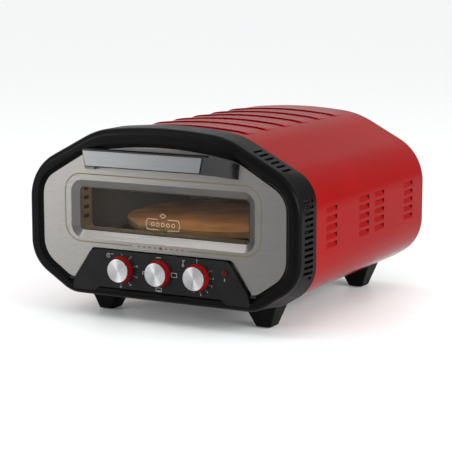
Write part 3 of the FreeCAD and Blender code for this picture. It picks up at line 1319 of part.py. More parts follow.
def build_electrics():
    """Terminal block on the base, thermal cut-out on the chamber's back, thermostat bulb in the chamber."""
    block = new_body("terminal_block")
    sketch = new_sketch(block, "XY", ON_BASE)
    left = "Dims.block_left"
    front = "Dims.block_front"
    outline(sketch, box_corners(left, front, f"{left} + Dims.block_width",
                                f"{front} + Dims.block_length", "Dims.block_corner"))
    pad(block, sketch, "Dims.block_height")
    wells = new_sketch(block, "XY", f"{ON_BASE} + Dims.block_height")
    first_well = f"{left} + (Dims.block_width - (Dims.block_wells - 1) * Dims.well_pitch) / 2"
    circles(wells, [(first_well, f"{front} + Dims.block_length / 2")], "Dims.well_radius")
    well = pocket(block, wells, "Dims.well_depth", backwards=True)
    repeat(block, [well], body_axis(block, "X"), "Dims.block_wells", "Dims.well_pitch")
    spot = ("Dims.cutout_x", "Dims.chamber_rear", "Dims.cutout_z")
    keep(cylinder("thermal_cutout", "Dims.cutout_radius", "Dims.cutout_height", *spot, Y_AXIS))
    spot = ("Dims.chamber_half - Dims.bulb_inset", "Dims.bulb_front", "Dims.bulb_z")
    keep(cylinder("thermostat_bulb", "Dims.bulb_radius", "Dims.bulb_length", *spot, Y_AXIS))


# ---------------------------------------------------------------- fasteners and pads

def screw(x, y, z, direction, length):
    """Round head on the near side of x, y, z and a shank along direction."""
    shank = cylinder("shank", "Dims.screw_radius", length, x, y, z, direction)
    head_y = f"{y} - ({direction.y}) * Dims.head_depth"
    head_z = f"{z} - ({direction.z}) * Dims.head_depth"
    head = cylinder("head", "Dims.screw_head", "Dims.head_depth", x, head_y, head_z, direction)
    whole = doc.addObject("Part::Fuse", "screw")
    whole.Base = shank
    whole.Tool = head
    return whole


def build_screws():
    rear_y = "Dims.body_depth - Dims.flange_inset + Dims.base_wall"
    rear = []
    for x, z in rear_screw_spots():
        rear.append(screw(x, rear_y, f"Dims.centre_z + {z}", -Y_AXIS, "Dims.rear_screw_length"))
    group("rear_screws", rear)
    feet = []
    pads = []
    for _, side, y in foot_spots():
        x, middle = foot_centre(side, y)
        length = "Dims.foot_height / 2 + Dims.foot_screw_reach"
        feet.append(screw(x, middle, "Dims.foot_height / 2", Z_AXIS, length))
        pads.append(cylinder("pad", "Dims.pad_radius", "Dims.pad_height", x, middle, "0", Z_AXIS))
    group("foot_screws", feet)
    group("foot_pads", pads)


def build_all():
    build_bezel()
    build_shell()
    build_rear_panel()
    build_gland()
    build_feet()
    build_base_plate()
    build_door_panel()
    build_door_inner_panel()
    build_door_glass("door_glass_outer", "Dims.outer_glass_y")
    build_door_glass("door_glass_inner", "Dims.inner_glass_y")
    build_window_liner()
    build_door_seal()
    build_glass_clips()
    build_hinges()
    build_handle()
    build_control_panel()
    for name, x in KNOBS:
        build_knob(name, x)
    build_lamp()
    build_control_bracket()
    build_control_unit("timer_mechanism", "-Dims.knob_pitch", "Dims.timer_half", "Dims.timer_height",
                       "Dims.control_depth + Dims.timer_extra")
    build_control_unit("mode_switch", "0", "Dims.switch_half", "Dims.switch_height", "Dims.control_depth")
    build_control_unit("thermostat", "Dims.knob_pitch", "Dims.thermostat_half", "Dims.thermostat_height",
                       "Dims.control_depth - Dims.thermostat_less")
    build_front_frame()
    build_chamber()
    build_stone()
    build_element("upper_heating_element", "Dims.upper_element_z")
    build_element("lower_heating_element", "Dims.lower_element_z")
    build_insulation()
    build_chamber_legs()
    build_heat_shield()
    build_electrics()
    build_screws()


build_all()
doc.recompute()
for item in doc.Objects:
    if {"Invalid", "Error"} & set(item.State):
        raise RuntimeError(f"{item.Name} failed: {item.State}")
for part in parts:
    if part.Shape.isNull() or not part.Shape.isValid():
        raise RuntimeError(f"{part.Label} has no valid shape")
os.makedirs("parts", exist_ok=True)
for part in parts:
    part.Shape.exportStep(f"parts/{part.Label}.step")
box = Part.makeCompound([part.Shape for part in parts]).BoundBox
print(f"{len(parts)} parts, {box.XLength:.1f} x {box.YLength:.1f} x {box.ZLength:.1f} mm")
print(f"x {box.XMin:.2f} {box.XMax:.2f}  y {box.YMin:.2f} {box.YMax:.2f}  z {box.ZMin:.2f} {box.ZMax:.2f}")
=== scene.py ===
import math

import bmesh
import bpy
from mathutils import Matrix, Vector
from mathutils.bvhtree import BVHTree


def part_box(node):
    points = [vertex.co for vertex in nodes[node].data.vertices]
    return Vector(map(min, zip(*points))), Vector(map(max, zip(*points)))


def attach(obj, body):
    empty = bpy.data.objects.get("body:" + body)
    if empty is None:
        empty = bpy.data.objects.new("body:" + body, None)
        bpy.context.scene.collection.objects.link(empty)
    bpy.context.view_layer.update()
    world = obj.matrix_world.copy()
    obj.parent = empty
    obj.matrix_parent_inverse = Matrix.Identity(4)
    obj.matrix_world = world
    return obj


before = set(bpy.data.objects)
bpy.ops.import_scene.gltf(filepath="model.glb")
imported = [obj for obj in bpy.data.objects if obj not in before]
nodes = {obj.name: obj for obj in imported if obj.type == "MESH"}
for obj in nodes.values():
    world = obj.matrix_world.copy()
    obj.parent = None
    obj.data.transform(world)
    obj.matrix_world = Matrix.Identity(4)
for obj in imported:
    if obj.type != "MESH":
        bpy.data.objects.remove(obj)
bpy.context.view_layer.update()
MM = 0.001


# ------------------------------------------------------------------ node materials

class Surface:
    """Principled material with helpers for procedural detail in object coordinates, in metres."""

    def __init__(self, name, **sockets):
        self.mat = bpy.data.materials.new(name)
        self.mat.use_nodes = True
        self.tree = self.mat.node_tree
        self.shader = self.tree.nodes["Principled BSDF"]
        for label, setting in sockets.items():
            self.shader.inputs[label.replace("_", " ")].default_value = setting
        self.height = None

    def add(self, kind, **fields):
        node = self.tree.nodes.new(kind)
        for field, setting in fields.items():
            setattr(node, field, setting)
        return node

    def link(self, source, target):
        self.tree.links.new(source, target)

    def coords(self, stretch=(1, 1, 1), centre=(0, 0, 0)):
        place = self.add("ShaderNodeTexCoord")
        mapping = self.add("ShaderNodeMapping")
        mapping.inputs["Scale"].default_value = stretch
        mapping.inputs["Location"].default_value = [-c * s for c, s in zip(centre, stretch)]
        self.link(place.outputs["Object"], mapping.inputs["Vector"])
        return mapping.outputs["Vector"]

    def noise(self, scale, stretch=(1, 1, 1), detail=3.0, rough=0.55):
        node = self.add("ShaderNodeTexNoise")
        node.inputs["Scale"].default_value = scale
        node.inputs["Detail"].default_value = detail
        node.inputs["Roughness"].default_value = rough
        self.link(self.coords(stretch), node.inputs["Vector"])
        return node.outputs["Fac"]

    def span(self, source, low, high, start=0.3, end=0.7):
        node = self.add("ShaderNodeMapRange")
        for label, setting in zip(("From Min", "From Max", "To Min", "To Max"), (start, end, low, high)):
            node.inputs[label].default_value = setting
        self.link(source, node.inputs["Value"])
        return node.outputs["Result"]

    def roughness(self, source, low, high):
        self.link(self.span(source, low, high), self.shader.inputs["Roughness"])

    def colours(self, source, first, second, start=0.35, end=0.65):
        ramp = self.add("ShaderNodeValToRGB")
        ramp.color_ramp.elements[0].position = start
        ramp.color_ramp.elements[1].position = end
        ramp.color_ramp.elements[0].color = (*first, 1)
        ramp.color_ramp.elements[1].color = (*second, 1)
        self.link(source, ramp.inputs["Fac"])
        self.link(ramp.outputs["Color"], self.shader.inputs["Base Color"])
        return ramp

    def bump(self, source, strength, distance):
        node = self.add("ShaderNodeBump")
        node.inputs["Strength"].default_value = strength
        node.inputs["Distance"].default_value = distance
        self.link(source, node.inputs["Height"])
        if self.height is not None:
            self.link(self.height, node.inputs["Normal"])
        self.height = node.outputs["Normal"]
        self.link(self.height, self.shader.inputs["Normal"])

    def tangent(self, direction):
        """Direction in which the highlights spread: a fixed one of the object's, or a node's output."""
        turn = self.add("ShaderNodeVectorTransform", vector_type="VECTOR")
        turn.convert_from = "OBJECT"
        turn.convert_to = "WORLD"
        if isinstance(direction, tuple):
            turn.inputs["Vector"].default_value = direction
        else:
            self.link(direction, turn.inputs["Vector"])
        self.link(turn.outputs["Vector"], self.shader.inputs["Tangent"])


def plastic(name, colour, rough, grain=0.00004, scale=2600, specular=0.10):
    """Moulded plastic: fine spark-eroded grain, faint cloudy wear in the gloss."""
    surface = Surface(name, Base_Color=(*colour, 1), IOR=1.45, Specular_IOR_Level=specular)
    surface.colours(surface.noise(30, detail=4), [c * 0.8 for c in colour], [c * 1.25 for c in colour])
    surface.roughness(surface.noise(45, detail=5), rough * 0.85, rough * 1.15)
    surface.bump(surface.noise(scale, detail=1), 0.5, grain)
    return surface.mat


MASK_START, MASK_END = 0.001, 0.005


def outside_mask(surface, middle):
    """1 where a face looks away from the front-to-rear line through middle, 0 where it looks towards it."""
    place = surface.add("ShaderNodeTexCoord")
    centre = surface.add("ShaderNodeMapping")
    centre.inputs["Location"].default_value = (-middle.x, 0, -middle.z)
    centre.inputs["Scale"].default_value = (1, 0, 1)
    surface.link(place.outputs["Object"], centre.inputs["Vector"])
    facing = surface.add("ShaderNodeVectorMath", operation="DOT_PRODUCT")
    surface.link(centre.outputs["Vector"], facing.inputs[0])
    surface.link(place.outputs["Normal"], facing.inputs[1])
    return surface.span(facing.outputs["Value"], 0.0, 1.0, MASK_START, MASK_END)


def paint(name, colour, rough, ior, peel=0.00006, inside_shade=None, middle=None):
    """Enamel with a slight orange peel; faces that look at the middle can take a flat colour instead, used as
    painted shade.
    """
    surface = Surface(name, Base_Color=(*colour, 1), IOR=ior)
    ramp = surface.colours(surface.noise(6, detail=2), [c * 0.93 for c in colour], [c * 1.05 for c in colour])
    # painted shade: faces that look towards the middle take the given dark colour in place of the enamel
    if inside_shade is not None:
        both = surface.add("ShaderNodeMix", data_type="RGBA")
        inner, outer = [socket for socket in both.inputs if socket.type == "RGBA"]
        mixed = next(socket for socket in both.outputs if socket.type == "RGBA")
        surface.link(outside_mask(surface, middle), both.inputs["Factor"])
        inner.default_value = (*inside_shade, 1)
        surface.link(ramp.outputs["Color"], outer)
        surface.link(mixed, surface.shader.inputs["Base Color"])
    surface.roughness(surface.noise(60, detail=4), rough * 0.8, rough * 1.3)
    surface.bump(surface.noise(420, detail=2), 0.35, peel)
    return surface.mat


SCRATCHES_ACROSS, SCRATCHES_ALONG = 2600, 9


def brushed(name, colour, rough, along, across_brush, depth=0.00002, spread=0.10):
    """Metal brushed along one axis: long fine scratches in height, gloss and tone."""
    stretch = [SCRATCHES_ACROSS] * 3
    stretch["XYZ".index(along)] = SCRATCHES_ALONG
    surface = Surface(name, Base_Color=(*colour, 1), Metallic=1.0, Anisotropic=0.75)
    surface.tangent(across_brush)
    lines = surface.noise(1.0, stretch, detail=2)
    tone = surface.noise(1.0, [s * 0.45 for s in stretch], detail=3)
    surface.colours(tone, [c * (1 - spread) for c in colour], [min(1, c * (1 + spread)) for c in colour])
    surface.roughness(lines, rough * 0.8, rough * 1.25)
    surface.bump(lines, 0.4, depth)
    return surface.mat


def spun(name, centre):
    """Turned aluminium face: grooves run in circles about the knob's axis."""
    surface = Surface(name, Metallic=1.0, Roughness=0.26, Anisotropic=0.95)
    offset = surface.coords(centre=centre)
    outwards = surface.add("ShaderNodeVectorMath", operation="MULTIPLY")
    outwards.inputs[1].default_value = (1, 0, 1)
    surface.link(offset, outwards.inputs[0])
    surface.tangent(outwards.outputs["Vector"])
    rings = surface.add("ShaderNodeTexWave", wave_type="RINGS", rings_direction="Y")
    rings.inputs["Scale"].default_value = 900
    rings.inputs["Distortion"].default_value = 2
    surface.link(offset, rings.inputs["Vector"])
    surface.colours(rings.outputs["Fac"], (0.22, 0.22, 0.225), (0.34, 0.34, 0.345), 0.0, 1.0)
    surface.bump(rings.outputs["Fac"], 0.25, 0.00001)
    return surface.mat


def stone_material():
    surface = Surface("cordierite", Roughness=0.9, Specular_IOR_Level=0.2)
    surface.colours(surface.noise(14, detail=8, rough=0.7), (0.24, 0.13, 0.055), (0.42, 0.27, 0.14))
    surface.bump(surface.noise(900, detail=3), 0.7, 0.0003)
    return surface.mat


def blanket_material():
    surface = Surface("ceramic_fibre", Roughness=0.95, Specular_IOR_Level=0.1)
    surface.colours(surface.noise(260, (1, 1, 3), detail=6), (0.72, 0.69, 0.60), (0.88, 0.86, 0.80))
    surface.bump(surface.noise(700, (1, 1, 2), detail=6), 0.8, 0.0006)
    return surface.mat


def braid_material():
    surface = Surface("glass_fibre_braid", Roughness=0.85, Specular_IOR_Level=0.2)
    weave = surface.add("ShaderNodeTexChecker")
    weave.inputs["Scale"].default_value = 900
    surface.link(surface.coords(), weave.inputs["Vector"])
    surface.colours(weave.outputs["Fac"], (0.12, 0.11, 0.10), (0.34, 0.32, 0.28), 0.0, 1.0)
    surface.bump(weave.outputs["Fac"], 0.6, 0.0002)
    return surface.mat


def heated_metal():
    """Element sheath: dull grey-black oxide with a rusty tinge."""
    surface = Surface("oxidised_sheath", Metallic=0.7)
    surface.colours(surface.noise(120, detail=5), (0.05, 0.045, 0.04), (0.16, 0.11, 0.08))
    surface.roughness(surface.noise(300), 0.45, 0.7)
    surface.bump(surface.noise(2500), 0.4, 0.00005)
    return surface.mat


def copper_material():
    surface = Surface("copper_alloy", Metallic=1.0)
    surface.colours(surface.noise(150, detail=4), (0.60, 0.30, 0.15), (0.80, 0.45, 0.26))
    surface.roughness(surface.noise(300), 0.25, 0.45)
    surface.bump(surface.noise(2500), 0.3, 0.00003)
    return surface.mat


def glass_material():
    surface = Surface("tempered_glass", Base_Color=(0.90, 0.88, 0.84, 1), Roughness=0.0, IOR=1.13,
                      Transmission_Weight=1.0)
    surface.bump(surface.noise(6, detail=1), 0.08, 0.0002)
    return surface.mat


def print_material(name, colour):
    """Screen-printed ink, very slightly uneven."""
    surface = Surface(name, Roughness=0.5, Specular_IOR_Level=0.3)
    surface.colours(surface.noise(900, detail=2), [c * 0.85 for c in colour], colour)
    surface.bump(surface.noise(4000, detail=1), 0.2, 0.00001)
    return surface.mat


black_plastic = plastic("bezel_black", (0.0018, 0.0018, 0.0020), 0.32, specular=0.055)
panel_plastic = plastic("panel_black", (0.0060, 0.0060, 0.0064), 0.40, grain=0.00002)
foot_plastic = plastic("foot_black", (0.0024, 0.0023, 0.0023), 0.50, specular=0.07)
device_plastic = plastic("phenolic", (0.02, 0.02, 0.022), 0.5)
nylon = plastic("nylon", (0.72, 0.69, 0.60), 0.5)
rubber = plastic("pad_rubber", (0.02, 0.02, 0.02), 0.8, grain=0.0001, scale=1500)
gloss_black = plastic("handle_black", (0.004, 0.004, 0.0042), 0.14, grain=0.00001, specular=0.35)
knob_red = plastic("knob_red", (0.20, 0.004, 0.004), 0.30, grain=0.00001, specular=0.08)
RED = (0.215, 0.0013, 0.0017)
RED_GLOSS = {"rough": 0.16, "ior": 1.095}
red_paint = paint("red_enamel", RED, **RED_GLOSS)
low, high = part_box("outer_shell")
# the shell's inward-looking faces are coloured near black: painted shade for the inside of the casing
shell_paint_and_shade = paint("shell_enamel_and_inside_shade", RED, **RED_GLOSS, inside_shade=(0.012, 0.011, 0.011), middle=(low + high) / 2)
black_paint = paint("black_enamel", (0.006, 0.006, 0.006), 0.4, 1.25)
steel_front = brushed("steel_brushed_across", (0.132, 0.127, 0.122), 0.30, "X", (0, 0, 1), spread=0.02)
steel_sheet = brushed("steel_sheet", (0.22, 0.205, 0.18), 0.50, "Y", (0, 0, 1))
handle_metal = brushed("handle_aluminium", (0.130, 0.132, 0.135), 0.30, "X", (0, 0, 1), spread=0.02)
liner_steel = brushed("bright_liner", (0.95, 0.86, 0.66), 0.60, "Y", (0, 0, 1), spread=0.03)
zinc = brushed("zinc_plate", (0.5, 0.5, 0.52), 0.25, "Z", (1, 0, 0))
jewel = Surface("red_jewel", Base_Color=(0.045, 0.0012, 0.0015, 1), Roughness=0.12, Specular_IOR_Level=0.12)
jewel.bump(jewel.noise(500), 0.3, 0.0001)

LOOKS = {
    black_plastic: ["front_bezel"],
    panel_plastic: ["control_panel"],
    foot_plastic: ["foot_front_left", "foot_front_right", "foot_rear_left", "foot_rear_right", "cable_gland"],
    rubber: ["foot_pads"],
    shell_paint_and_shade: ["outer_shell"],
    black_paint: ["rear_panel", "base_plate", "front_frame", "door_inner_panel", "door_hinge_left",
                  "door_hinge_right", "hinge_pins"],
    zinc: ["foot_screws", "rear_screws", "timer_shaft", "mode_shaft", "thermostat_shaft"],
    jewel.mat: ["indicator_lens"],
    nylon: ["indicator_lamp"],
    steel_sheet: ["control_bracket", "oven_chamber", "stone_rests", "chamber_legs", "heat_shield",
                  "glass_clips"],
    liner_steel: ["window_liner"],
    device_plastic: ["timer_mechanism", "mode_switch", "thermostat", "terminal_block"],
    stone_material(): ["baking_stone"],
    heated_metal(): ["upper_heating_element", "lower_heating_element"],
    blanket_material(): ["insulation_blanket"],
    copper_material(): ["thermal_cutout", "thermostat_bulb"],
    steel_front: ["door_panel"],
    glass_material(): ["door_glass_outer", "door_glass_inner"],
    braid_material(): ["door_seal"],
    gloss_black: ["handle_core"],
    handle_metal: ["handle_cover"],
    knob_red: ["timer_knob_skirt", "mode_knob_skirt", "thermostat_knob_skirt"],
}
for name in ("timer", "mode", "thermostat"):
    low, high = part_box(f"{name}_knob_cap")
    LOOKS[spun(f"spun_{name}", (low + high) / 2)] = [f"{name}_knob_cap"]
for mat, members in LOOKS.items():
    for name in members:
        mesh = nodes[name].data
        mesh.materials.clear()
        mesh.materials.append(mat)

arms = nodes["handle_core"].modifiers.new("softened_edges", "BEVEL")
arms.width = 1.2 * MM
arms.segments = 3
arms.angle_limit = math.radians(25)


# ------------------------------------------------------------------ pieces

def piece(name, bm, mat, body):
    """Mesh object from a bmesh, riding on a body."""
    mesh = bpy.data.meshes.new(name)
    bmesh.ops.recalc_face_normals(bm, faces=bm.faces[:])
    bm.to_mesh(mesh)
    bm.free()
    mesh.materials.append(mat)
    obj = bpy.data.objects.new(name, mesh)
    bpy.context.scene.collection.objects.link(obj)
    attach(obj, body)
    return obj


def prism(bm, loop, depth):
    """Closed loop of points given thickness along a vector."""
    front = [bm.verts.new(p) for p in loop]
    back = [bm.verts.new(p + depth) for p in loop]
    bm.faces.new(front)
    bm.faces.new(back[::-1])
    count = len(loop)
    for i in range(count):
        j = (i + 1) % count
        bm.faces.new((front[i], back[i], back[j], front[j]))


PRINT_DEPTH = 0.12 * MM
MITRE_LIMIT = 0.4


def stroke(bm, points, width, y, closed=False):
    """Flat printed line through (x, z) points in millimetres, on a plane facing -Y."""
    spots = [Vector((x * MM, y, z * MM)) for x, z in points]
    count = len(spots)
    sides = []
    for i, spot in enumerate(spots):
        before = spots[i - 1] if closed or i else spot
        after = spots[(i + 1) % count] if closed or i < count - 1 else spot
        along_in = (spot - before).normalized() if (spot - before).length else None
        along_out = (after - spot).normalized() if (after - spot).length else None
        along = ((along_in or along_out) + (along_out or along_in)).normalized()
        across = Vector((-along.z, 0, along.x)) * (width * MM / 2)
        if along_in and along_out:
            across /= max(MITRE_LIMIT, math.cos(along_in.angle(along_out) / 2))
        sides.append((spot - across, spot + across))
    for i in range(count if closed else count - 1):
        (a, b), (c, d) = sides[i], sides[(i + 1) % count]
        prism(bm, [a, c, d, b], Vector((0, PRINT_DEPTH, 0)))


def arc(centre, radius, start, end, count=12):
    """(x, z) points along an arc, with angles in degrees from +X towards +Z."""
    points = []
    for i in range(count + 1):
        turn = math.radians(start + (end - start) * i / count)
        points.append((centre[0] + radius * math.cos(turn), centre[1] + radius * math.sin(turn)))
    return points


def rounded_box(half, low, high, radius, count=10):
    """Rounded rectangle as (x, z) points, from the middle of the lower edge round to it again."""
    corners = [(half - radius, low + radius), (half - radius, high - radius),
               (radius - half, high - radius), (radius - half, low + radius)]
    points = [(0, low)]
    for quarter, centre in enumerate(corners):
        points += arc(centre, radius, 90 * quarter - 90, 90 * quarter, count)
    return points


# Louvres pressed up out of the crown: each stands over one of the shell's slots, open at its front edge.
# The first one's depth is measured from the bezel's front crest.
LOUVRE_COUNT = 6
LOUVRE_FIRST = 95.5 * MM
LOUVRE_PITCH = 63.5 * MM
LOUVRE_HALF = 104 * MM
LOUVRE_LENGTH = 33 * MM
LOUVRE_LIFT = 2.0 * MM
LOUVRE_SHEET = 0.9 * MM
LOUVRE_SUNK = 0.10 * MM
# shape of the rise: rounded ends as a share of the half length, a lip that starts a little low, and the
# power with which the sheet falls to its foot
LOUVRE_END = 0.07
LIP_HEIGHT, LIP_SLOPE = 0.82, 3
FALL = 0.8
FACES_ACROSS, FACES_ALONG = 56, 12
PLAIN_CROWN = 6 * MM
ABOVE_ALL = 1

shell = nodes["outer_shell"].data
shell_tree = BVHTree.FromPolygons([v.co for v in shell.vertices], [p.vertices for p in shell.polygons])
bezel_low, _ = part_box("front_bezel")
crest = bezel_low.y


def crown(x, y):
    """Height of the shell's top surface at x, y."""
    return shell_tree.ray_cast(Vector((x, y, ABOVE_ALL)), Vector((0, 0, -1)))[0].z


def louvre_rise(u, v):
    """Rise of the pressed sheet, u from -1 to 1 across the crown and v from 0 at the lip to 1 at its foot."""
    end = min(1, (1 - abs(u)) / LOUVRE_END)
    swell = end * end * (3 - 2 * end)
    return LOUVRE_LIFT * swell * (1 - v) ** FALL * min(1, LIP_HEIGHT + LIP_SLOPE * v)


def louvre_mesh(start):
    """Sheet of even thickness whose lip is at depth start, following the plain crown just ahead of it."""
    bm = bmesh.new()
    skins = []
    for below in (LOUVRE_SHEET, 0):
        rows = []
        for i in range(FACES_ACROSS + 1):
            u = 2 * i / FACES_ACROSS - 1
            x = u * LOUVRE_HALF
            foot = crown(x, start - PLAIN_CROWN) - LOUVRE_SUNK - below
            row = []
            for j in range(FACES_ALONG + 1):
                v = j / FACES_ALONG
                row.append(bm.verts.new((x, start + v * LOUVRE_LENGTH, foot + louvre_rise(u, v))))
            rows.append(row)
        for i in range(FACES_ACROSS):
            for j in range(FACES_ALONG):
                bm.faces.new((rows[i][j], rows[i + 1][j], rows[i + 1][j + 1], rows[i][j + 1]))
        skins.append(rows)
    under, over = skins
    rim = [(i, 0) for i in range(FACES_ACROSS)] + [(FACES_ACROSS, j) for j in range(FACES_ALONG)]
    rim += [(i, FACES_ALONG) for i in range(FACES_ACROSS, 0, -1)]
    rim += [(0, j) for j in range(FACES_ALONG, 0, -1)]
    for (i, j), (k, m) in zip(rim, rim[1:] + rim[:1]):
        bm.faces.new((under[i][j], under[k][m], over[k][m], over[i][j]))
    return bm


for index in range(LOUVRE_COUNT):
    bm = louvre_mesh(crest + LOUVRE_FIRST + index * LOUVRE_PITCH)
    louvre = piece(f"crown_louvre_{index + 1}", bm, red_paint, "housing")
    for face in louvre.data.polygons:
        face.use_smooth = True
    louvre.modifiers.new("soft", "BEVEL").width = 0.25 * MM


# ------------------------------------------------------------------ printing

def printed_plane(node, ahead):
    """Y of ink that stands this far ahead of a node's foremost face."""
    low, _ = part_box(node)
    return low.y - ahead


# x, z and line widths of all that is printed are in millimetres
DOOR_Y = printed_plane("door_panel", 0.10 * MM)
GLASS_Y = printed_plane("door_glass_outer", 0.10 * MM)
PANEL_Y = printed_plane("control_panel", 0.08 * MM)

gold = print_material("gold_ink", (0.11, 0.088, 0.016))
dark_red = print_material("dark_red_ink", (0.12, 0.010, 0.010))
cream = print_material("cream_ink", (0.50, 0.44, 0.30))
white = print_material("white_ink", (0.30, 0.30, 0.30))
black_ink = print_material("black_ink", (0.004, 0.004, 0.004))

# gold line around the window, broken at the bottom for a row of diamonds
GOLD_LOW = 120.5
GOLD_GAP = 50
WIDE_LINE = 1.7
line = rounded_box(half=170.4, low=GOLD_LOW, high=226, radius=28)[1:]
bm = bmesh.new()
stroke(bm, [(GOLD_GAP, GOLD_LOW)] + line + [(-GOLD_GAP, GOLD_LOW)], WIDE_LINE, DOOR_Y)
piece("door_gold_line", bm, gold, "door")

DIAMONDS_A_SIDE = 4
DIAMOND_PITCH = 9.5
DIAMOND_ASPECT = 1.4
MIDDLE_DIAMOND, SMALL_DIAMOND = 2.6, 1.5
bm = bmesh.new()
for i in range(-DIAMONDS_A_SIDE, DIAMONDS_A_SIDE + 1):
    tall = SMALL_DIAMOND if i else MIDDLE_DIAMOND
    wide = tall * DIAMOND_ASPECT
    tips = [(-wide, 0), (0, -tall), (wide, 0), (0, tall)]
    spots = [Vector(((i * DIAMOND_PITCH + x) * MM, DOOR_Y, (GOLD_LOW + z) * MM)) for x, z in tips]
    prism(bm, spots, Vector((0, PRINT_DEPTH, 0)))
piece("door_ornament", bm, dark_red, "door")

# on the glass: an open frame around five rings, a diamond above it, and a black border at the window's edge
GLASS_LINE = 0.8
FRAME_Z, FRAME_HALF_HEIGHT = 155.5, 8
FRAME_START, FRAME_BEND, FRAME_END = 9, 27, 30
RING_COUNT, RING_PITCH, RING_RADIUS = 5, 9, 2.6
bm = bmesh.new()
for side in (-1, 1):
    for z in (FRAME_Z - FRAME_HALF_HEIGHT, FRAME_Z + FRAME_HALF_HEIGHT):
        bracket = [(side * FRAME_START, z), (side * FRAME_BEND, z), (side * FRAME_END, FRAME_Z)]
        stroke(bm, bracket, GLASS_LINE, GLASS_Y)
stroke(bm, [(0, 165.5), (5, 169), (0, 172.5), (-5, 169)], GLASS_LINE, GLASS_Y, closed=True)
for i in range(RING_COUNT):
    ring_x = (i - RING_COUNT // 2) * RING_PITCH
    stroke(bm, arc((ring_x, FRAME_Z), RING_RADIUS, 0, 360, 20)[:-1], GLASS_LINE, GLASS_Y, closed=True)
piece("glass_ornament", bm, cream, "door")
bm = bmesh.new()
border = rounded_box(half=147.6, low=138.3, high=204.1, radius=7.1)
stroke(bm, border, WIDE_LINE, GLASS_Y, closed=True)
piece("glass_border", bm, black_ink, "door")

# marks of the control panel
KNOB_Z = 83
KNOB_PITCH = 66.2
FINE, PLAIN, BOLD = 0.6, 0.7, 0.8
bm = bmesh.new()


def mark(points, width=PLAIN, closed=False):
    stroke(bm, points, width, PANEL_Y, closed)


def frame_mark(x, z, half_x, half_z):
    left, right, low, high = x - half_x, x + half_x, z - half_z, z + half_z
    mark([(left, low), (right, low), (right, high), (left, high)], closed=True)


def around(knob_x, angle, across, up):
    """Point about a knob's axis, turned right from straight up."""
    turn = math.radians(angle)
    return knob_x + across * math.sin(turn), KNOB_Z + up * math.cos(turn)


def ticks(knob_x, angles, inner, outer):
    for angle in angles:
        mark([around(knob_x, angle, radius, radius) for radius in (inner, outer)])


# timer: clock face with its hands, a bar, and ticks
mark(arc((-89, 103.5), 3.1, 20, 340, 18))
mark([(-89, 105.6), (-89, 103.5), (-87.4, 103.5)], FINE)
mark([(-84.6, 106.2), (-80.2, 106.2)])
ticks(-KNOB_PITCH, (2, 38, 74, 110, 146, 182), 22.4, 24.4)
# mode switch: a bar above, a box to the right, a box with a line in it below, a hooked mark to the left
mark([(-4.4, 107.5), (4.4, 107.5)], BOLD)
frame_mark(26.8, KNOB_Z, 4.6, 3.2)
frame_mark(0, 58.3, 4.8, 2.6)
mark([(-3, 56.9), (3, 56.9)], FINE)
mark([(-28, 78.6), (-28, 83.6), (-23.4, 83.6)], BOLD)
mark([(-26.8, 81), (-23.4, 81)], FINE)
# thermostat: thermometer and ticks, then the bar under the lamp
mark([(42.5, 100.5), (42.5, 107), (45.8, 107)], BOLD)
mark(arc((42.5, 99.4), 1.5, 0, 340, 12))
ticks(KNOB_PITCH, (0, 62, 88, 114, 140, 166, 192), 22.4, 24.2)
mark([(113, 81.5), (113, 86)], 0.9)
piece("panel_marks", bm, white, "housing")

DIGIT_SIZE = 4.2
DIGIT_HALF_DEPTH = 0.06


def number(text, x, z):
    """Digits on the control panel as a mesh, centred on x, z."""
    curve = bpy.data.curves.new(f"digits_{text}_{int(x)}", "FONT")
    curve.body = text
    curve.size = DIGIT_SIZE * MM
    curve.extrude = DIGIT_HALF_DEPTH * MM
    curve.align_x = "CENTER"
    curve.align_y = "CENTER"
    curve.resolution_u = 3
    source = bpy.data.objects.new(curve.name, curve)
    bpy.context.scene.collection.objects.link(source)
    bpy.context.view_layer.update()
    mesh = bpy.data.meshes.new_from_object(source)
    bpy.data.objects.remove(source)
    mesh.transform(Matrix.Translation((x * MM, PANEL_Y, z * MM)) @ Matrix.Rotation(math.pi / 2, 4, "X"))
    mesh.materials.clear()
    mesh.materials.append(white)
    obj = bpy.data.objects.new(curve.name, mesh)
    bpy.context.scene.collection.objects.link(obj)
    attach(obj, "housing")


for text, angle in (("5", 38), ("10", 74), ("15", 110), ("20", 146), ("30", 182)):
    number(text, *around(-KNOB_PITCH, angle, 28.4, 27.0))
for text, angle in (("0", 0), ("1", 62), ("2", 88), ("3", 114), ("4", 140), ("5", 166)):
    number(text, *around(KNOB_PITCH, angle, 27.6, 26.6))


# ------------------------------------------------------------------ stage, light and camera

FLOOR_HALF = 40
FLOOR_DROP = 0.2 * MM
floor_mat = Surface("floor", Base_Color=(0.88, 0.895, 0.90, 1), Roughness=0.35, Specular_IOR_Level=0.15,
                    Emission_Color=(1, 1, 1, 1), Emission_Strength=0.05)
floor_mat.bump(floor_mat.noise(3, detail=1), 0.02, 0.0005)
bm = bmesh.new()
bmesh.ops.create_grid(bm, x_segments=8, y_segments=8, size=FLOOR_HALF)
mesh = bpy.data.meshes.new("floor")
bm.to_mesh(mesh)
bm.free()
mesh.materials.append(floor_mat.mat)
floor = bpy.data.objects.new("floor", mesh)
floor.location.z = -FLOOR_DROP
bpy.context.scene.collection.objects.link(floor)

scene = bpy.context.scene
world = bpy.data.worlds.new("studio")
world.use_nodes = True
scene.world = world
tree = world.node_tree
backdrop = tree.nodes["Background"]
coord = tree.nodes.new("ShaderNodeTexCoord")
split = tree.nodes.new("ShaderNodeSeparateXYZ")
tree.links.new(coord.outputs["Generated"], split.inputs["Vector"])


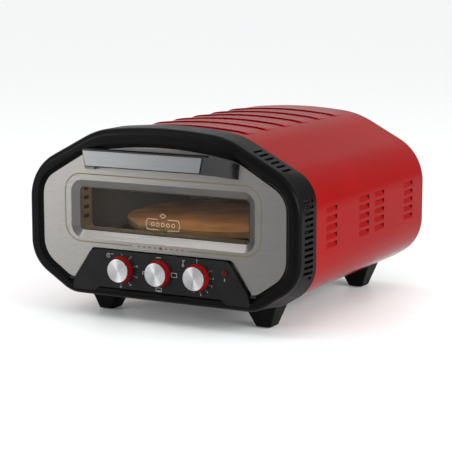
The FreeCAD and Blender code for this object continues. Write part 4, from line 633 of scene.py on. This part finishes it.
def sky_ramp(axis, low, high, start, end):
    """World brightness from low to high as one axis of the direction goes from start to end."""
    node = tree.nodes.new("ShaderNodeMapRange")
    for label, setting in zip(("From Min", "From Max", "To Min", "To Max"), (start, end, low, high)):
        node.inputs[label].default_value = setting
    tree.links.new(split.outputs[axis], node.inputs["Value"])
    return node.outputs["Result"]


overhead = sky_ramp("Z", low=0.53, high=1.36, start=0.0, end=1.0)
rearwards = sky_ramp("Y", low=1.0, high=0.95, start=-0.3, end=0.9)
sky = tree.nodes.new("ShaderNodeMath")
sky.operation = "MULTIPLY"
tree.links.new(overhead, sky.inputs[0])
tree.links.new(rearwards, sky.inputs[1])
tree.links.new(sky.outputs["Value"], backdrop.inputs["Strength"])
backdrop.inputs["Color"].default_value = (1, 1, 1, 1)


def softbox(name, place, aim, size, power, colour=(1, 1, 1)):
    """Rectangular lamp at a place, turned to face a point; size in metres and power in watts."""
    light = bpy.data.lights.new(name, "AREA")
    light.shape = "RECTANGLE"
    light.size, light.size_y = size
    light.energy = power
    light.color = colour
    obj = bpy.data.objects.new(name, light)
    obj.location = place
    obj.rotation_euler = (Vector(aim) - Vector(place)).to_track_quat("-Z", "Y").to_euler()
    scene.collection.objects.link(obj)


softbox("softbox_right", place=(2.4, -0.2, 0.9), aim=(0.2, 0, 0.15), size=(1.8, 1.3), power=56)
softbox("softbox_left", place=(-2.20, -2.65, 0.75), aim=(-0.1, -0.22, 0.15), size=(1.2, 1.1), power=44)
softbox("softbox_above", place=(-1.05, -1.40, 1.80), aim=(0, -0.22, 0.15), size=(0.7, 0.7), power=9)
softbox("oven_light", place=(0, crest + 70 * MM, 0.226), aim=(0, crest + 230 * MM, 0.14),
        size=(0.24, 0.012), power=0.16, colour=(1.0, 0.66, 0.36))

CAMERA_PLACE = (1.20787, -2.25874, 0.55410)
CAMERA_DIP, CAMERA_TURN = 9.561, 28.241
camera = bpy.data.cameras.new("camera")
camera.lens = 127.05
camera.sensor_width = 36
camera_object = bpy.data.objects.new("camera", camera)
camera_object.location = CAMERA_PLACE
camera_object.rotation_euler = (math.radians(90 - CAMERA_DIP), 0, math.radians(CAMERA_TURN))
scene.collection.objects.link(camera_object)
scene.camera = camera_object
scene.view_settings.view_transform = "Standard"
